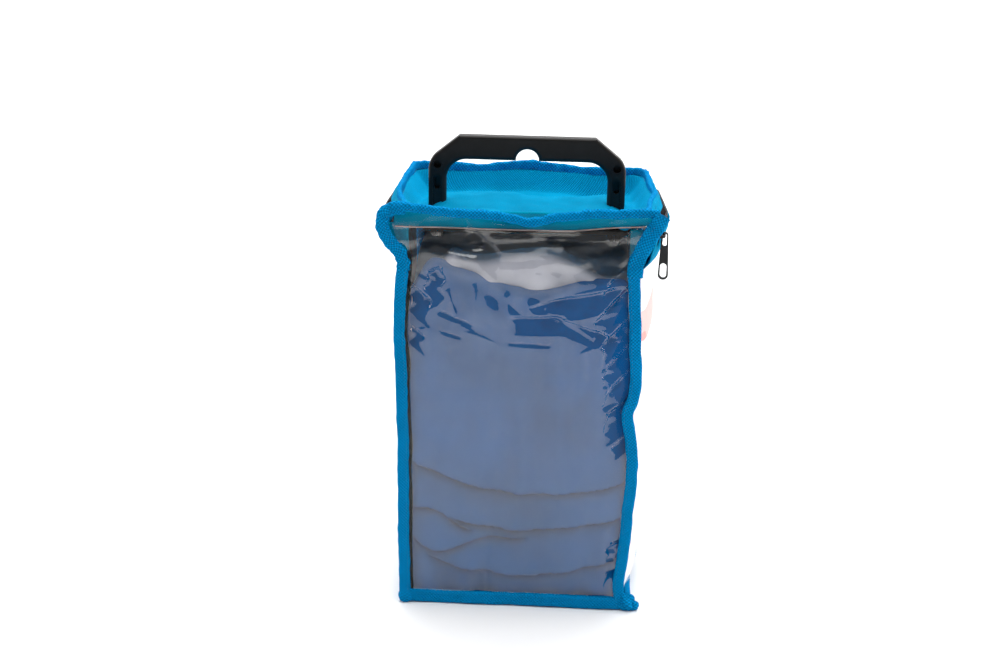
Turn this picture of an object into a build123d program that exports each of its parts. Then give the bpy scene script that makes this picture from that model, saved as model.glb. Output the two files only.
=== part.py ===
"""Zippered cleaning-cloth caddy: a clear-fronted fabric bag with a hinged zip lid and a snap-in carrying handle.

Frame: millimetres, +Z up, origin at the centre of the resting face, the window faces -Y.
"""

import os
from math import atan2, hypot, tan

from build123d import *

# ---------------------------------------------------------------- driving dimensions
half_width = 91.5  # middle plane of a side window
half_depth = 75.0  # middle plane of the front window and the back panel
film = 0.4  # clear vinyl
fabric = 0.8  # embossed nonwoven
binding_width = 9.0
binding_thick = 6.0
binding_corner = 2.0
binding_grip = 4.0  # how far a panel's edge runs into its binding
window_top = 288.0  # top edge of the side windows and the back panel
band_low = 284.0  # lower edge of the band that widens the bag up to the zip
seam_height = 321.0  # the seam round the top of the bag
roll_radius = 5.0  # rolled hem along the front of the top seam
roll_half_length = 103.0

zip_height = 308.0  # middle of the closed zip
zip_front = -60.0
front_reach = 99.5  # sideways reach of the zip at its front end
bulge_reach = 111.0  # sideways reach where the bag is widest
bulge_y = 5.0
bulge_radius = 30.0
back_reach = 106.0  # sideways reach at the back corners
zip_back = 87.4
zip_corner = 18.0
tape_thick = 0.6
lower_tape_width = 5.2
upper_tape_width = 8.3
coil_gap = 0.3  # between the two closed coils
coil_width = 2.8
coil_thick = 2.2

rim_inset = 0.5  # lid binding's middle, inwards of the zip
rim_height = 318.5
rim_tall = 10.0
rim_thick = 6.0
rim_front = -58.0

panel_front = -69.5
panel_inset = 4.0
panel_low = 303.2  # underside of the sagging lid panel
panel_flat_inset = 23.0

handle_half_width = 77.0
handle_top = 369.0
handle_thick = 10.0
leg_width = 14.0
grip_height = 19.0
leg_center = handle_half_width - leg_width / 2
notch_radius = 9.0
grip_round = 3.4  # rounding along the grip's lower edges, inside the legs and round the notch
outer_round = 2.2

slider_y = -53.0  # middle of the slider with the zip closed
slider_length = 12.0
bail_reach = 5.8  # from the zip out to the pull's pivot

os.makedirs("parts", exist_ok=True)


def save(builder, name):
    """Label a finished piece and write it as one STEP file."""
    builder.part.label = name
    export_step(builder.part, f"parts/{name}.step")


# ---------------------------------------------------------------- route of the zip round the bag's top
slant = (bulge_reach - front_reach) / (bulge_y - zip_front)
corner_turn = atan2(zip_back - bulge_y, bulge_reach - back_reach)
back_run = hypot(zip_back - bulge_y, bulge_reach - back_reach)
corner_part = (zip_corner * tan(corner_turn / 2) + 0.01) / back_run
side_end_x = back_reach + (bulge_reach - back_reach) * corner_part
side_end_y = zip_back + (bulge_y - zip_back) * corner_part


def reach_at(y):
    """Sideways reach of the zip in front of the bag's widest place."""
    return front_reach + slant * (y - zip_front)


def side_line(front):
    """Left side of the route, from the given front end to the back corner."""
    return FilletPolyline(
        (-reach_at(front), front, zip_height),
        (-bulge_reach, bulge_y, zip_height),
        (-side_end_x, side_end_y, zip_height),
        radius=bulge_radius,
    )


def back_line():
    """Back of the route with its two corners."""
    return FilletPolyline(
        (-side_end_x, side_end_y, zip_height),
        (-back_reach, zip_back, zip_height),
        (back_reach, zip_back, zip_height),
        (side_end_x, side_end_y, zip_height),
        radius=zip_corner,
    )


def whole_line(front):
    """The whole route, from the left front end round the back to the right front end."""
    return FilletPolyline(
        (-reach_at(front), front, zip_height),
        (-bulge_reach, bulge_y, zip_height),
        (-back_reach, zip_back, zip_height),
        (back_reach, zip_back, zip_height),
        (bulge_reach, bulge_y, zip_height),
        (reach_at(front), front, zip_height),
        radius=(bulge_radius, zip_corner, zip_corner, bulge_radius),
    )


def side_plane(front):
    """Section plane at the route's left front end: x points outwards and y up."""
    return Plane(origin=(-reach_at(front), front, zip_height), x_dir=(-1, -slant, 0), z_dir=(-slant, 1, 0))


def back_plane():
    """Section plane at the start of the back line: x points outwards and y up."""
    along_x = back_reach - side_end_x
    along_y = zip_back - side_end_y
    return Plane(
        origin=(-side_end_x, side_end_y, zip_height),
        x_dir=(-along_y, -along_x, 0),
        z_dir=(-along_x, along_y, 0),
    )


# ---------------------------------------------------------------- windows, panels and stiffeners
edge_x = half_width - 2.5  # the front window's edge inside its bindings
binding_x = half_width - 2.0  # middle of a corner binding
binding_y = half_depth - 1.5
binding_in_x = binding_x - binding_width / 2
binding_in_y = binding_y - binding_thick / 2
roll_low = seam_height - roll_radius
hem_top = binding_width
wall_low = hem_top - binding_grip
wall_middle = (wall_low + window_top) / 2
wall_tall = window_top - wall_low
corner_cut = 16.0  # clears a wall's upper corner for the back of the band
corner_cut_tall = 2 * (window_top - band_low + 0.5)
board_size = (168.0, 134.0)
board_corner = 6.0
board_thick = 1.6
card_size = (0.6, 134.0)
card_tall = 270.0
card_gap = 1.2  # from the window's middle plane to the card's
card_lift = 0.2

with BuildPart() as front_window:
    with BuildSketch(Plane.XY.offset(wall_low)):
        with Locations((0, -half_depth)):
            Rectangle(2 * edge_x, film)
    extrude(amount=roll_low + 3 - wall_low)
save(front_window, "front_window")

with BuildPart() as back_panel:
    with BuildSketch(Plane.XZ.offset(-half_depth - fabric / 2)):
        with Locations((0, wall_middle)):
            Rectangle(2 * edge_x, wall_tall)
        with Locations((-half_width, window_top), (half_width, window_top)):
            Rectangle(corner_cut, corner_cut_tall, mode=Mode.SUBTRACT)
    extrude(amount=fabric)
save(back_panel, "back_panel")

with BuildPart() as bottom_panel:
    with BuildSketch():
        Rectangle(2 * (half_width - 3.5), 2 * binding_in_y)
    extrude(amount=fabric)
save(bottom_panel, "bottom_panel")

with BuildPart() as bottom_board:
    with BuildSketch(Plane.XY.offset(fabric)):
        RectangleRounded(*board_size, board_corner)
    extrude(amount=board_thick)
save(bottom_board, "bottom_board")

for side, sign in (("left", -1), ("right", 1)):
    with BuildPart() as side_window:
        with BuildSketch(Plane.YZ.offset(sign * half_width - film / 2)):
            with Locations((0, wall_middle)):
                Rectangle(2 * binding_y, wall_tall)
            with Locations((half_depth, window_top)):
                Rectangle(corner_cut, corner_cut_tall, mode=Mode.SUBTRACT)
        extrude(amount=film)
    save(side_window, f"{side}_window")

    with BuildPart() as insert_card:
        with BuildSketch(Plane.XY.offset(hem_top + card_lift)):
            with Locations((sign * (half_width - card_gap), 0)):
                Rectangle(*card_size)
        extrude(amount=card_tall)
    save(insert_card, f"{side}_insert_card")

# ---------------------------------------------------------------- folded bindings on the seams
for side, sign in (("left", -1), ("right", 1)):
    for end, face, sheet, top in (("front", -1, film, roll_low), ("back", 1, fabric, band_low - 0.5)):
        with BuildPart() as corner_binding:
            with BuildSketch():
                with Locations((sign * binding_x, face * binding_y)):
                    RectangleRounded(binding_width, binding_thick, binding_corner)
                with Locations((sign * (binding_in_x + binding_grip / 2), face * half_depth)):
                    Rectangle(binding_grip, sheet, mode=Mode.SUBTRACT)
                with Locations((sign * half_width, face * (binding_in_y + binding_thick / 4))):
                    Rectangle(film, binding_thick / 2, mode=Mode.SUBTRACT)
            extrude(amount=top)
        save(corner_binding, f"{end}_{side}_binding")

    with BuildPart() as side_hem:
        with BuildSketch(Plane.XZ.offset(binding_in_y)):
            with Locations((sign * (half_width - 0.5), hem_top / 2)):
                RectangleRounded(binding_thick, hem_top, binding_corner)
            with Locations((sign * half_width, hem_top - binding_grip / 2)):
                Rectangle(film, binding_grip, mode=Mode.SUBTRACT)
        extrude(amount=-2 * binding_in_y)
    save(side_hem, f"{side}_bottom_binding")

for end, face, sheet in (("front", -1, film), ("back", 1, fabric)):
    with BuildPart() as cross_hem:
        with BuildSketch(Plane.YZ.offset(-binding_in_x)):
            with Locations((face * binding_y, hem_top / 2)):
                RectangleRounded(binding_thick, hem_top, binding_corner)
            with Locations((face * half_depth, hem_top - binding_grip / 2)):
                Rectangle(sheet, binding_grip, mode=Mode.SUBTRACT)
        extrude(amount=2 * binding_in_x)
    save(cross_hem, f"{end}_bottom_binding")

with BuildPart() as front_top_roll:
    with BuildSketch(Plane.YZ.offset(-roll_half_length)):
        with Locations((-half_depth - 0.5, seam_height)):
            Circle(roll_radius)
    extrude(amount=2 * roll_half_length)
    with BuildSketch(Plane.XY.offset(roll_low - 1)):
        with Locations((0, -half_depth)):
            Rectangle(2 * edge_x, film)
    extrude(amount=4, mode=Mode.SUBTRACT)
save(front_top_roll, "front_top_roll")

# ---------------------------------------------------------------- band that widens the bag up to the zip
tape_foot = -8.2
band_top = -5.5
band_front = -binding_in_y + 0.2
head_gap = tape_thick / 2 + 0.1
tab_front = -70.2
tab_back = -60.4
tab_tall = 13.0
tab_rise = 1.3  # of the tab's middle above the zip's


def band_points(inward):
    """Section of the band, whose foot stands the given distance inwards of the zip."""
    return [
        (-inward, band_low - zip_height),
        (-inward, window_top - zip_height),
        (head_gap, tape_foot),
        (head_gap, band_top),
        (head_gap + fabric, band_top),
        (head_gap + fabric, tape_foot),
        (-inward + fabric, window_top - zip_height),
        (-inward + fabric, band_low - zip_height),
    ]


foot_reach = half_width + film / 2
band_spans = (
    (band_front, reach_at(band_front) + head_gap, bulge_y, bulge_reach + head_gap),
    (bulge_y, bulge_reach + head_gap, side_end_y - 0.02, side_end_x + head_gap),
)

for side, sign in (("left", -1), ("right", 1)):
    with BuildPart() as side_band:
        for near_y, near_reach, far_y, far_reach in band_spans:
            for height, near, far in (
                (band_low, foot_reach, foot_reach),
                (window_top, foot_reach, foot_reach),
                (zip_height + tape_foot, near_reach, far_reach),
                (zip_height + band_top, near_reach, far_reach),
            ):
                with BuildSketch(Plane.XY.offset(height)):
                    with BuildLine():
                        Polyline(
                            (-near, near_y),
                            (-far, far_y),
                            (-far - fabric, far_y),
                            (-near - fabric, near_y),
                            close=True,
                        )
                    make_face()
            loft(ruled=True)
        if sign > 0:
            mirror(about=Plane.YZ, mode=Mode.REPLACE)
    save(side_band, f"{side}_upper_band")

    with BuildPart() as end_tab:
        with BuildLine() as tab_route:
            Line((-reach_at(tab_front), tab_front, zip_height), (-reach_at(tab_back), tab_back, zip_height))
        with BuildSketch(side_plane(tab_front)):
            with Locations((tape_thick / 2 + fabric / 2, tab_rise)):
                Rectangle(fabric, tab_tall)
        sweep(path=tab_route.line)
        if sign > 0:
            mirror(about=Plane.YZ, mode=Mode.REPLACE)
    save(end_tab, f"{side}_zip_end_tab")

with BuildPart() as back_band:
    with BuildLine() as back_route:
        back_line()
    with BuildSketch(back_plane()):
        with BuildLine():
            Polyline(*band_points(zip_back - half_depth - fabric / 2), close=True)
        make_face()
    sweep(path=back_route.line)
save(back_band, "back_upper_band")

# ---------------------------------------------------------------- zip tapes and coils
coil_middle = coil_gap / 2 + coil_width / 2
coil_edge = coil_gap / 2 + coil_width
upper_coil_front = slider_y + slider_length / 2 + 1.5


def zip_strip(name, width, thickness, middle, front):
    """A flat tape or a coil that follows the whole route."""
    with BuildPart() as strip:
        with BuildLine() as route:
            whole_line(front)
        with BuildSketch(side_plane(front)):
            with Locations((0, middle)):
                RectangleRounded(thickness, width, min(thickness, width) * 0.3)
        sweep(path=route.line)
    save(strip, name)


zip_strip("lower_zip_tape", lower_tape_width, tape_thick, -coil_edge - lower_tape_width / 2, zip_front)
zip_strip("upper_zip_tape", upper_tape_width, tape_thick, coil_edge + upper_tape_width / 2, zip_front)
zip_strip("lower_zip_coil", coil_width, coil_thick, -coil_middle, zip_front)
zip_strip("upper_zip_coil", coil_width, coil_thick, coil_middle, upper_coil_front)

# ---------------------------------------------------------------- lid
rim_low = rim_height - rim_tall / 2 - zip_height
rim_slot_top = coil_edge + upper_tape_width


def rim_section():
    """Rounded lid binding with the slot that its zip tape is sewn into."""
    with Locations((-rim_inset, rim_height - zip_height)):
        RectangleRounded(rim_thick, rim_tall, binding_corner)
    with Locations((0, (rim_low + rim_slot_top) / 2)):
        Rectangle(tape_thick, rim_slot_top - rim_low, mode=Mode.SUBTRACT)


for side, sign in (("left", -1), ("right", 1)):
    with BuildPart() as side_rim:
        with BuildLine() as side_route:
            side_line(rim_front)
        with BuildSketch(side_plane(rim_front)):
            rim_section()
        sweep(path=side_route.line)
        if sign > 0:
            mirror(about=Plane.YZ, mode=Mode.REPLACE)
    save(side_rim, f"lid_{side}_binding")

with BuildPart() as back_rim:
    with BuildLine() as rim_route:
        back_line()
    with BuildSketch(back_plane()):
        rim_section()
    sweep(path=rim_route.line)
save(back_rim, "lid_back_binding")

slit_length = 11.0
slit_width = 6.4

with BuildPart() as top_panel:
    for lift, mode in ((0.0, Mode.ADD), (fabric, Mode.SUBTRACT)):
        for inset, front, height in (
            (panel_inset, panel_front, seam_height),
            (panel_flat_inset, panel_front + panel_flat_inset, panel_low),
        ):
            with BuildSketch(Plane.XY.offset(height + lift)) as panel_slice:
                with BuildLine():
                    Polyline(
                        (-reach_at(front) + inset, front),
                        (-bulge_reach + inset, bulge_y),
                        (-back_reach + inset, zip_back - inset),
                        (back_reach - inset, zip_back - inset),
                        (bulge_reach - inset, bulge_y),
                        (reach_at(front) - inset, front),
                        close=True,
                    )
                make_face()
                fillet(panel_slice.vertices().group_by(Axis.Y)[-1], zip_corner - panel_inset)
        loft(ruled=True, mode=mode)
    with BuildSketch(Plane.XY.offset(panel_low - 1)):
        with Locations((-leg_center, 0), (leg_center, 0)):
            Rectangle(slit_length, slit_width)
    extrude(amount=4, mode=Mode.SUBTRACT)
save(top_panel, "top_panel")

# ---------------------------------------------------------------- handle and its base plate
leg_low = panel_low + fabric + 0.2
prong_width = 9.0
prong_thick = 4.6
prong_tip = 287.0
barb = 1.6
tip_taper = 1.2
ledge = 294.0
plate_size = (164.0, 18.0)
plate_corner = 6.0
plate_thick = 3.0
plate_clearance = 0.8
rib_size = (112.0, 2.0)
rib_tall = 2.0
split = 1.6
split_top = 312.0
channel_size = (32.0, 7.0)
channel_middle = 322.0
channel_depth = 1.4
eye_height = 346.0
eye_radius = 3.1
slot_size = (10.0, 4.6)
slot_height = 331.0
pocket_depth = 7.0  # of the eye and the slot, which don't go through the leg
chamfer_run = 24.0
chamfer_drop = 19.5
inner_corner = 16.0
grip_low = handle_top - grip_height



def is_inner(edge):
    """True for an edge of the handle's opening or of the notch above it."""
    middle = edge.center()
    return abs(middle.X) < handle_half_width - leg_width + 1 and middle.Z < grip_low + notch_radius + 1


def is_outer(edge):
    """True for an edge along the handle's outside."""
    middle = edge.center()
    return abs(middle.X) > handle_half_width - 1 or middle.Z > handle_top - chamfer_drop / 2 - 1


with BuildPart() as handle:
    with BuildSketch(Plane.XZ.offset(-handle_thick / 2)) as handle_outline:
        with BuildLine():
            Polyline(
                (-handle_half_width, leg_low),
                (-handle_half_width, handle_top - chamfer_drop),
                (-handle_half_width + chamfer_run, handle_top),
                (handle_half_width - chamfer_run, handle_top),
                (handle_half_width, handle_top - chamfer_drop),
                (handle_half_width, leg_low),
                close=True,
            )
        make_face()
        with Locations((0, (grip_low + leg_low) / 2)):
            Rectangle(2 * (handle_half_width - leg_width), grip_low - leg_low, mode=Mode.SUBTRACT)
        fillet(handle_outline.vertices().filter_by_position(Axis.Y, grip_low - 1, grip_low + 1), inner_corner)
        with Locations((0, grip_low)):
            Circle(notch_radius, mode=Mode.SUBTRACT)
    extrude(amount=handle_thick)
    rims = handle.faces().filter_by(Axis.Y).edges().filter_by(lambda e: e.center().Z > leg_low + 1)
    fillet(rims.filter_by(is_inner), grip_round)
    rims = handle.faces().filter_by(Axis.Y).edges().filter_by(lambda e: e.center().Z > leg_low + 1)
    fillet(rims.filter_by(is_outer), outer_round)
    # split, barbed prongs that snap through the base plate
    with BuildSketch(Plane.XZ.offset(-prong_thick / 2)):
        for sign in (-1, 1):
            with BuildLine():
                Polyline(
                    (sign * leg_center - prong_width / 2, leg_low + 1),
                    (sign * leg_center - prong_width / 2, ledge),
                    (sign * leg_center - prong_width / 2 - barb, ledge),
                    (sign * leg_center - prong_width / 2 + tip_taper, prong_tip),
                    (sign * leg_center + prong_width / 2 - tip_taper, prong_tip),
                    (sign * leg_center + prong_width / 2 + barb, ledge),
                    (sign * leg_center + prong_width / 2, ledge),
                    (sign * leg_center + prong_width / 2, leg_low + 1),
                    close=True,
                )
            make_face()
    extrude(amount=prong_thick)
    # front channel, eye and slot in each leg, and the split between its prong's two halves
    with BuildSketch(Plane.XZ.offset(handle_thick / 2)):
        with Locations((-leg_center, channel_middle), (leg_center, channel_middle)):
            SlotOverall(*channel_size, rotation=90)
    extrude(amount=-channel_depth, mode=Mode.SUBTRACT)
    with BuildSketch(Plane.XZ.offset(handle_thick / 2)):
        with Locations((-leg_center, eye_height), (leg_center, eye_height)):
            Circle(eye_radius)
        with Locations((-leg_center, slot_height), (leg_center, slot_height)):
            SlotOverall(*slot_size, rotation=90)
    extrude(amount=-pocket_depth, mode=Mode.SUBTRACT)
    with BuildSketch(Plane.XZ.offset(handle_thick / 2 + 1)):
        with Locations((-leg_center, (split_top + prong_tip) / 2), (leg_center, (split_top + prong_tip) / 2)):
            Rectangle(split, split_top - prong_tip + 1)
    extrude(amount=-handle_thick - 2, mode=Mode.SUBTRACT)
save(handle, "handle")

with BuildPart() as handle_base_plate:
    with BuildSketch(Plane.XY.offset(ledge)):
        RectangleRounded(*plate_size, plate_corner)
        with Locations((-leg_center, 0), (leg_center, 0)):
            Rectangle(prong_width + plate_clearance, prong_thick + plate_clearance, mode=Mode.SUBTRACT)
    extrude(amount=plate_thick)
    with BuildSketch(Plane.XY.offset(ledge - rib_tall)):
        Rectangle(*rib_size)
    extrude(amount=rib_tall)
save(handle_base_plate, "handle_base_plate")

# ---------------------------------------------------------------- zip slider, bail and pull
slider_tall = 9.6
cavity = 3.2
slider_wall = 1.2
tape_slot = 1.6
flange = 0.8
wedge_length = 3.0
slider_corner = 0.7


def slider_section(forward):
    """Section plane across the zip at the slider: x points outwards, y up and z to the front."""
    origin = Vector(reach_at(slider_y), slider_y, zip_height)
    ahead = Vector(-slant, -1, 0).normalized()
    return Plane(origin=origin + ahead * forward, x_dir=(1, -slant, 0), z_dir=(-slant, -1, 0))


with BuildPart() as slider_body:
    with BuildSketch(slider_section(-slider_length / 2)):
        RectangleRounded(cavity + 2 * slider_wall, slider_tall, slider_corner)
        Rectangle(cavity, slider_tall - 2 * flange, mode=Mode.SUBTRACT)
        Rectangle(tape_slot, slider_tall + 1, mode=Mode.SUBTRACT)
    extrude(amount=slider_length)
    # the wedge that parts the coils, at the closing end
    with BuildSketch(slider_section(slider_length / 2 - wedge_length)):
        Rectangle(cavity + 0.4, 0.6 * coil_gap)
    extrude(amount=wedge_length)
save(slider_body, "slider_body")

bail_low = cavity / 2 + slider_wall
bail_bar = 1.2
bail_tall = 2.4
bail_half_length = 5.0
bail_lean = 0.6  # of the bail's two feet towards each other
bail_corner = 2.0
bail_plane = Plane(
    origin=(reach_at(slider_y), slider_y, zip_height - bail_tall / 2),
    x_dir=(1, -slant, 0),
    z_dir=(0, 0, 1),
)
with BuildPart() as slider_bail:
    with BuildSketch(bail_plane):
        with BuildLine():
            Polyline(
                (bail_low, -bail_half_length),
                (bail_reach - bail_bar / 2, -bail_half_length + bail_lean),
                (bail_reach + bail_bar / 2, -bail_half_length + bail_corner),
                (bail_reach + bail_bar / 2, bail_half_length - bail_corner),
                (bail_reach - bail_bar / 2, bail_half_length - bail_lean),
                (bail_low, bail_half_length),
                (bail_low, bail_half_length - bail_bar),
                (bail_reach - bail_bar / 2, bail_half_length - bail_corner - bail_lean),
                (bail_reach - bail_bar / 2, -bail_half_length + bail_corner + bail_lean),
                (bail_low, -bail_half_length + bail_bar),
                close=True,
            )
        make_face()
    extrude(amount=bail_tall)
save(slider_bail, "slider_bail")

pull_thick = 1.8
pull_top_radius = 2.6
pull_low_radius = 3.9
pull_reach = 31.0
pull_eye = (10.0, 3.2)
pull_window = (11.4, 5.0)
eye_inset = 3.4  # of each opening's middle from the round end's

with BuildPart() as pull_tab:
    with BuildSketch(slider_section(-pull_thick / 2)):
        with Locations((bail_reach, 0)):
            Circle(pull_top_radius)
        with Locations((bail_reach, -pull_reach)):
            Circle(pull_low_radius)
        make_hull()
        with Locations((bail_reach, -eye_inset)):
            SlotOverall(*pull_eye, rotation=90, mode=Mode.SUBTRACT)
        with Locations((bail_reach, eye_inset - pull_reach)):
            SlotOverall(*pull_window, rotation=90, mode=Mode.SUBTRACT)
    extrude(amount=pull_thick)
save(pull_tab, "pull_tab")

# ---------------------------------------------------------------- folded cloths inside
cloth_corner = 12.0
cloth_round = 8.0
cloths = (
    ("folded_cloth", (172.0, 138.0, 252.0), (0, -1, 2.6)),
    ("lining_cloth", (162.0, 124.0, 20.0), (0, -4, 254.8)),
)

for cloth_name, cloth_size, cloth_place in cloths:
    with BuildPart() as cloth:
        with Locations(cloth_place):
            Box(*cloth_size, align=(Align.CENTER, Align.CENTER, Align.MIN))
        fillet(cloth.edges().filter_by(Axis.Z), cloth_corner)
        fillet(cloth.faces().sort_by(Axis.Z)[-1].edges(), cloth_round)
    save(cloth, cloth_name)
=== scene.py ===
import math

import bpy
import numpy as np
from mathutils import Matrix, Vector


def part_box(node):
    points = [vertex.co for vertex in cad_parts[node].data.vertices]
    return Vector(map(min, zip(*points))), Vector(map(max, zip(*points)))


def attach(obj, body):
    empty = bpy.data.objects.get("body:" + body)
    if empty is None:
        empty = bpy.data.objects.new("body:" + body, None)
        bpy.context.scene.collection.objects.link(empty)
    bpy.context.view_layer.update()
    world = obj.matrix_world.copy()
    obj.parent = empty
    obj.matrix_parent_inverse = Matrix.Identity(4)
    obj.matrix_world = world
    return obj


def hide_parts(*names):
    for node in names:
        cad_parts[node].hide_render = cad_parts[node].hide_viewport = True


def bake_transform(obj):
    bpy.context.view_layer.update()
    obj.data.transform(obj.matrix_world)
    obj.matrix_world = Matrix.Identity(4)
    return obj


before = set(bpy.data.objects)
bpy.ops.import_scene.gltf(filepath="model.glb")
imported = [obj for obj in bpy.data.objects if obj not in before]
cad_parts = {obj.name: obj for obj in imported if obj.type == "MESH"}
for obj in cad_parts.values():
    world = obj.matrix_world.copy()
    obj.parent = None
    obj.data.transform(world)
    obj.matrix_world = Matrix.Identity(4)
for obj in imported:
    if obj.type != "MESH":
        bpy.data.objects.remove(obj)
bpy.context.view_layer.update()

MM = 0.001

# ---- places read from the frame, in millimetres


def box_mm(node):
    """A node's lowest and highest corners in millimetres."""
    low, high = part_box(node)
    return np.array(low) * 1000.0, np.array(high) * 1000.0


def middle(node, axis):
    """The middle of a node along one axis."""
    low, high = box_mm(node)
    return (low[axis] + high[axis]) / 2


side_x = middle("right_window", 0)
front_y = middle("front_window", 1)
back_y = middle("back_panel", 1)
binding_x = middle("front_right_binding", 0)
binding_wide = np.ptp([b[0] for b in box_mm("front_right_binding")])
window_top = box_mm("right_window")[1][2]
hem_tall = box_mm("front_bottom_binding")[1][2]
zip_z = (box_mm("lower_zip_coil")[1][2] + box_mm("upper_zip_coil")[0][2]) / 2
zip_front = box_mm("lower_zip_tape")[0][1]
zip_back = box_mm("lower_zip_tape")[1][1] - 0.3
zip_reach = box_mm("lower_zip_tape")[1][0] - 0.3
slider_x = middle("slider_body", 0)
slider_y = middle("slider_body", 1)
rim_z = middle("lid_back_binding", 2)
seam_z = middle("front_top_roll", 2)
roll_y = middle("front_top_roll", 1)
panel_low = box_mm("top_panel")[0][2]
cloth_low, cloth_high = box_mm("folded_cloth")
lining_high = box_mm("lining_cloth")[1]

WIDEST_Y = 5.0  # where the zip stands furthest out
CORNER = 18.0  # corner radius of the zip's route
HEM_LOW = 314.5  # lower edge of the hem behind the film


# ---- small maths
def smooth(value, start, end):
    """0 before start, 1 after end, with a smooth rise between."""
    t = np.clip((np.asarray(value, float) - start) / (end - start), 0, 1)
    return t * t * (3 - 2 * t)


def hump(value, centre, width):
    """A smooth bump of height 1."""
    return np.exp(-(((np.asarray(value, float) - centre) / width) ** 2))


def waves(a, b, length, seed, count=7):
    """Smooth irregular ripples of about unit height, the same on every run."""
    rng = np.random.default_rng(seed)
    total = 0.0
    for _ in range(count):
        angle = rng.uniform(0, 2 * math.pi)
        phase = rng.uniform(0, 2 * math.pi)
        k = 2 * math.pi / (length * rng.uniform(0.7, 1.6))
        total = total + np.sin(k * (a * math.cos(angle) + b * math.sin(angle)) + phase)
    return total / math.sqrt(count)


def through(value, points):
    """A smooth curve through a few (value, result) pairs."""
    xs = np.array([p[0] for p in points], float)
    ys = np.array([p[1] for p in points], float)
    slopes = np.gradient(ys, xs)
    value = np.clip(np.asarray(value, float), xs[0], xs[-1])
    i = np.clip(np.searchsorted(xs, value) - 1, 0, len(xs) - 2)
    h = xs[i + 1] - xs[i]
    t = (value - xs[i]) / h
    return (
        (2 * t**3 - 3 * t**2 + 1) * ys[i]
        + (t**3 - 2 * t**2 + t) * h * slopes[i]
        + (-2 * t**3 + 3 * t**2) * ys[i + 1]
        + (t**3 - t**2) * h * slopes[i + 1]
    )


# ---- materials
def new_material(name):
    """An empty node material: its tree, its shader and its output."""
    material = bpy.data.materials.new(name)
    material.use_nodes = True
    tree = material.node_tree
    tree.nodes.clear()
    shader = tree.nodes.new("ShaderNodeBsdfPrincipled")
    output = tree.nodes.new("ShaderNodeOutputMaterial")
    tree.links.new(shader.outputs[0], output.inputs[0])
    return material, tree, shader, output


def math_node(tree, operation, *values):
    """A Math node whose inputs are numbers or sockets."""
    node = tree.nodes.new("ShaderNodeMath")
    node.operation = operation
    for socket, value in zip(node.inputs, values):
        if isinstance(value, (int, float)):
            socket.default_value = value
        else:
            tree.links.new(value, socket)
    return node.outputs[0]


def set_inputs(node, **values):
    """Sets a node's plain inputs; an underscore in a name stands for a space."""
    for name, value in values.items():
        node.inputs[name.replace("_", " ")].default_value = value


def noise_node(tree, vector, scale, detail=3.0, roughness=0.5):
    """Noise height at the given scale, in features per metre."""
    node = tree.nodes.new("ShaderNodeTexNoise")
    set_inputs(node, Scale=scale, Detail=detail, Roughness=roughness)
    tree.links.new(vector, node.inputs["Vector"])
    return node.outputs["Fac"]


def ramp(tree, factor, low, high, low_colour, high_colour):
    """A two-stop colour ramp."""
    node = tree.nodes.new("ShaderNodeValToRGB")
    for stop, position, colour in zip(node.color_ramp.elements, (low, high), (low_colour, high_colour)):
        stop.position = position
        stop.color = (*colour, 1)
    tree.links.new(factor, node.inputs[0])
    return node.outputs[0]


def bump(tree, shader, height, strength, distance):
    """Adds a bump to the shader."""
    node = tree.nodes.new("ShaderNodeBump")
    set_inputs(node, Strength=strength, Distance=distance)
    tree.links.new(height, node.inputs["Height"])
    tree.links.new(node.outputs[0], shader.inputs["Normal"])


def uv_axes(tree):
    """The surface's own coordinates in metres, whole and split."""
    uv = tree.nodes.new("ShaderNodeUVMap")
    uv.uv_map = "UVMap"
    split = tree.nodes.new("ShaderNodeSeparateXYZ")
    tree.links.new(uv.outputs[0], split.inputs[0])
    return uv.outputs[0], split.outputs[0], split.outputs[1]


def crossed_waves(tree, u, v, k):
    """Product of two sine waves, one along each axis: a grid of raised and sunk cells."""
    along = math_node(tree, "SINE", math_node(tree, "MULTIPLY", u, k))
    across = math_node(tree, "SINE", math_node(tree, "MULTIPLY", v, k))
    return math_node(tree, "MULTIPLY", along, across)


def painted_light_mark(tree):
    """The value that each mesh point carries for its material: painted crease shade in cloth, painted-out
    reflection in film.
    """
    node = tree.nodes.new("ShaderNodeAttribute")
    node.attribute_name = "mark"
    return node.outputs["Fac"]


def object_vector(tree):
    """Coordinates in the row's frame, in metres."""
    return tree.nodes.new("ShaderNodeTexCoord").outputs["Object"]


def shade(colour, factor):
    """A colour made lighter or darker."""
    return tuple(min(1.0, c * factor) for c in colour)


def nonwoven(name, colour, pitch=0.0016, emboss=1.0, pit_shade=0.34):
    """Spunbond fabric with a fine diamond emboss, painted shade in its pits, and faint blotches."""
    material, tree, shader, _ = new_material(name)
    uv, u, v = uv_axes(tree)
    cell = crossed_waves(tree, u, v, math.sqrt(2) * math.pi / pitch)
    fibre = noise_node(tree, uv, 2600.0, 2.0, 0.7)
    blotch = noise_node(tree, uv, 28.0, 4.0, 0.6)
    tone = math_node(tree, "MULTIPLY_ADD", blotch, 0.55, 0.12)
    # painted shade in the emboss pits, added to the blotches' random tone
    tone_and_pit_shading = math_node(tree, "MULTIPLY_ADD", cell, pit_shade, tone)
    base = ramp(tree, tone_and_pit_shading, 0.1, 0.66, shade(colour, 0.58), shade(colour, 1.16))
    tree.links.new(base, shader.inputs["Base Color"])
    bump(tree, shader, math_node(tree, "MULTIPLY_ADD", fibre, 0.35, cell), emboss, 0.00036)
    set_inputs(shader, Roughness=0.85, Specular_IOR_Level=0.03)
    return material


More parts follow.
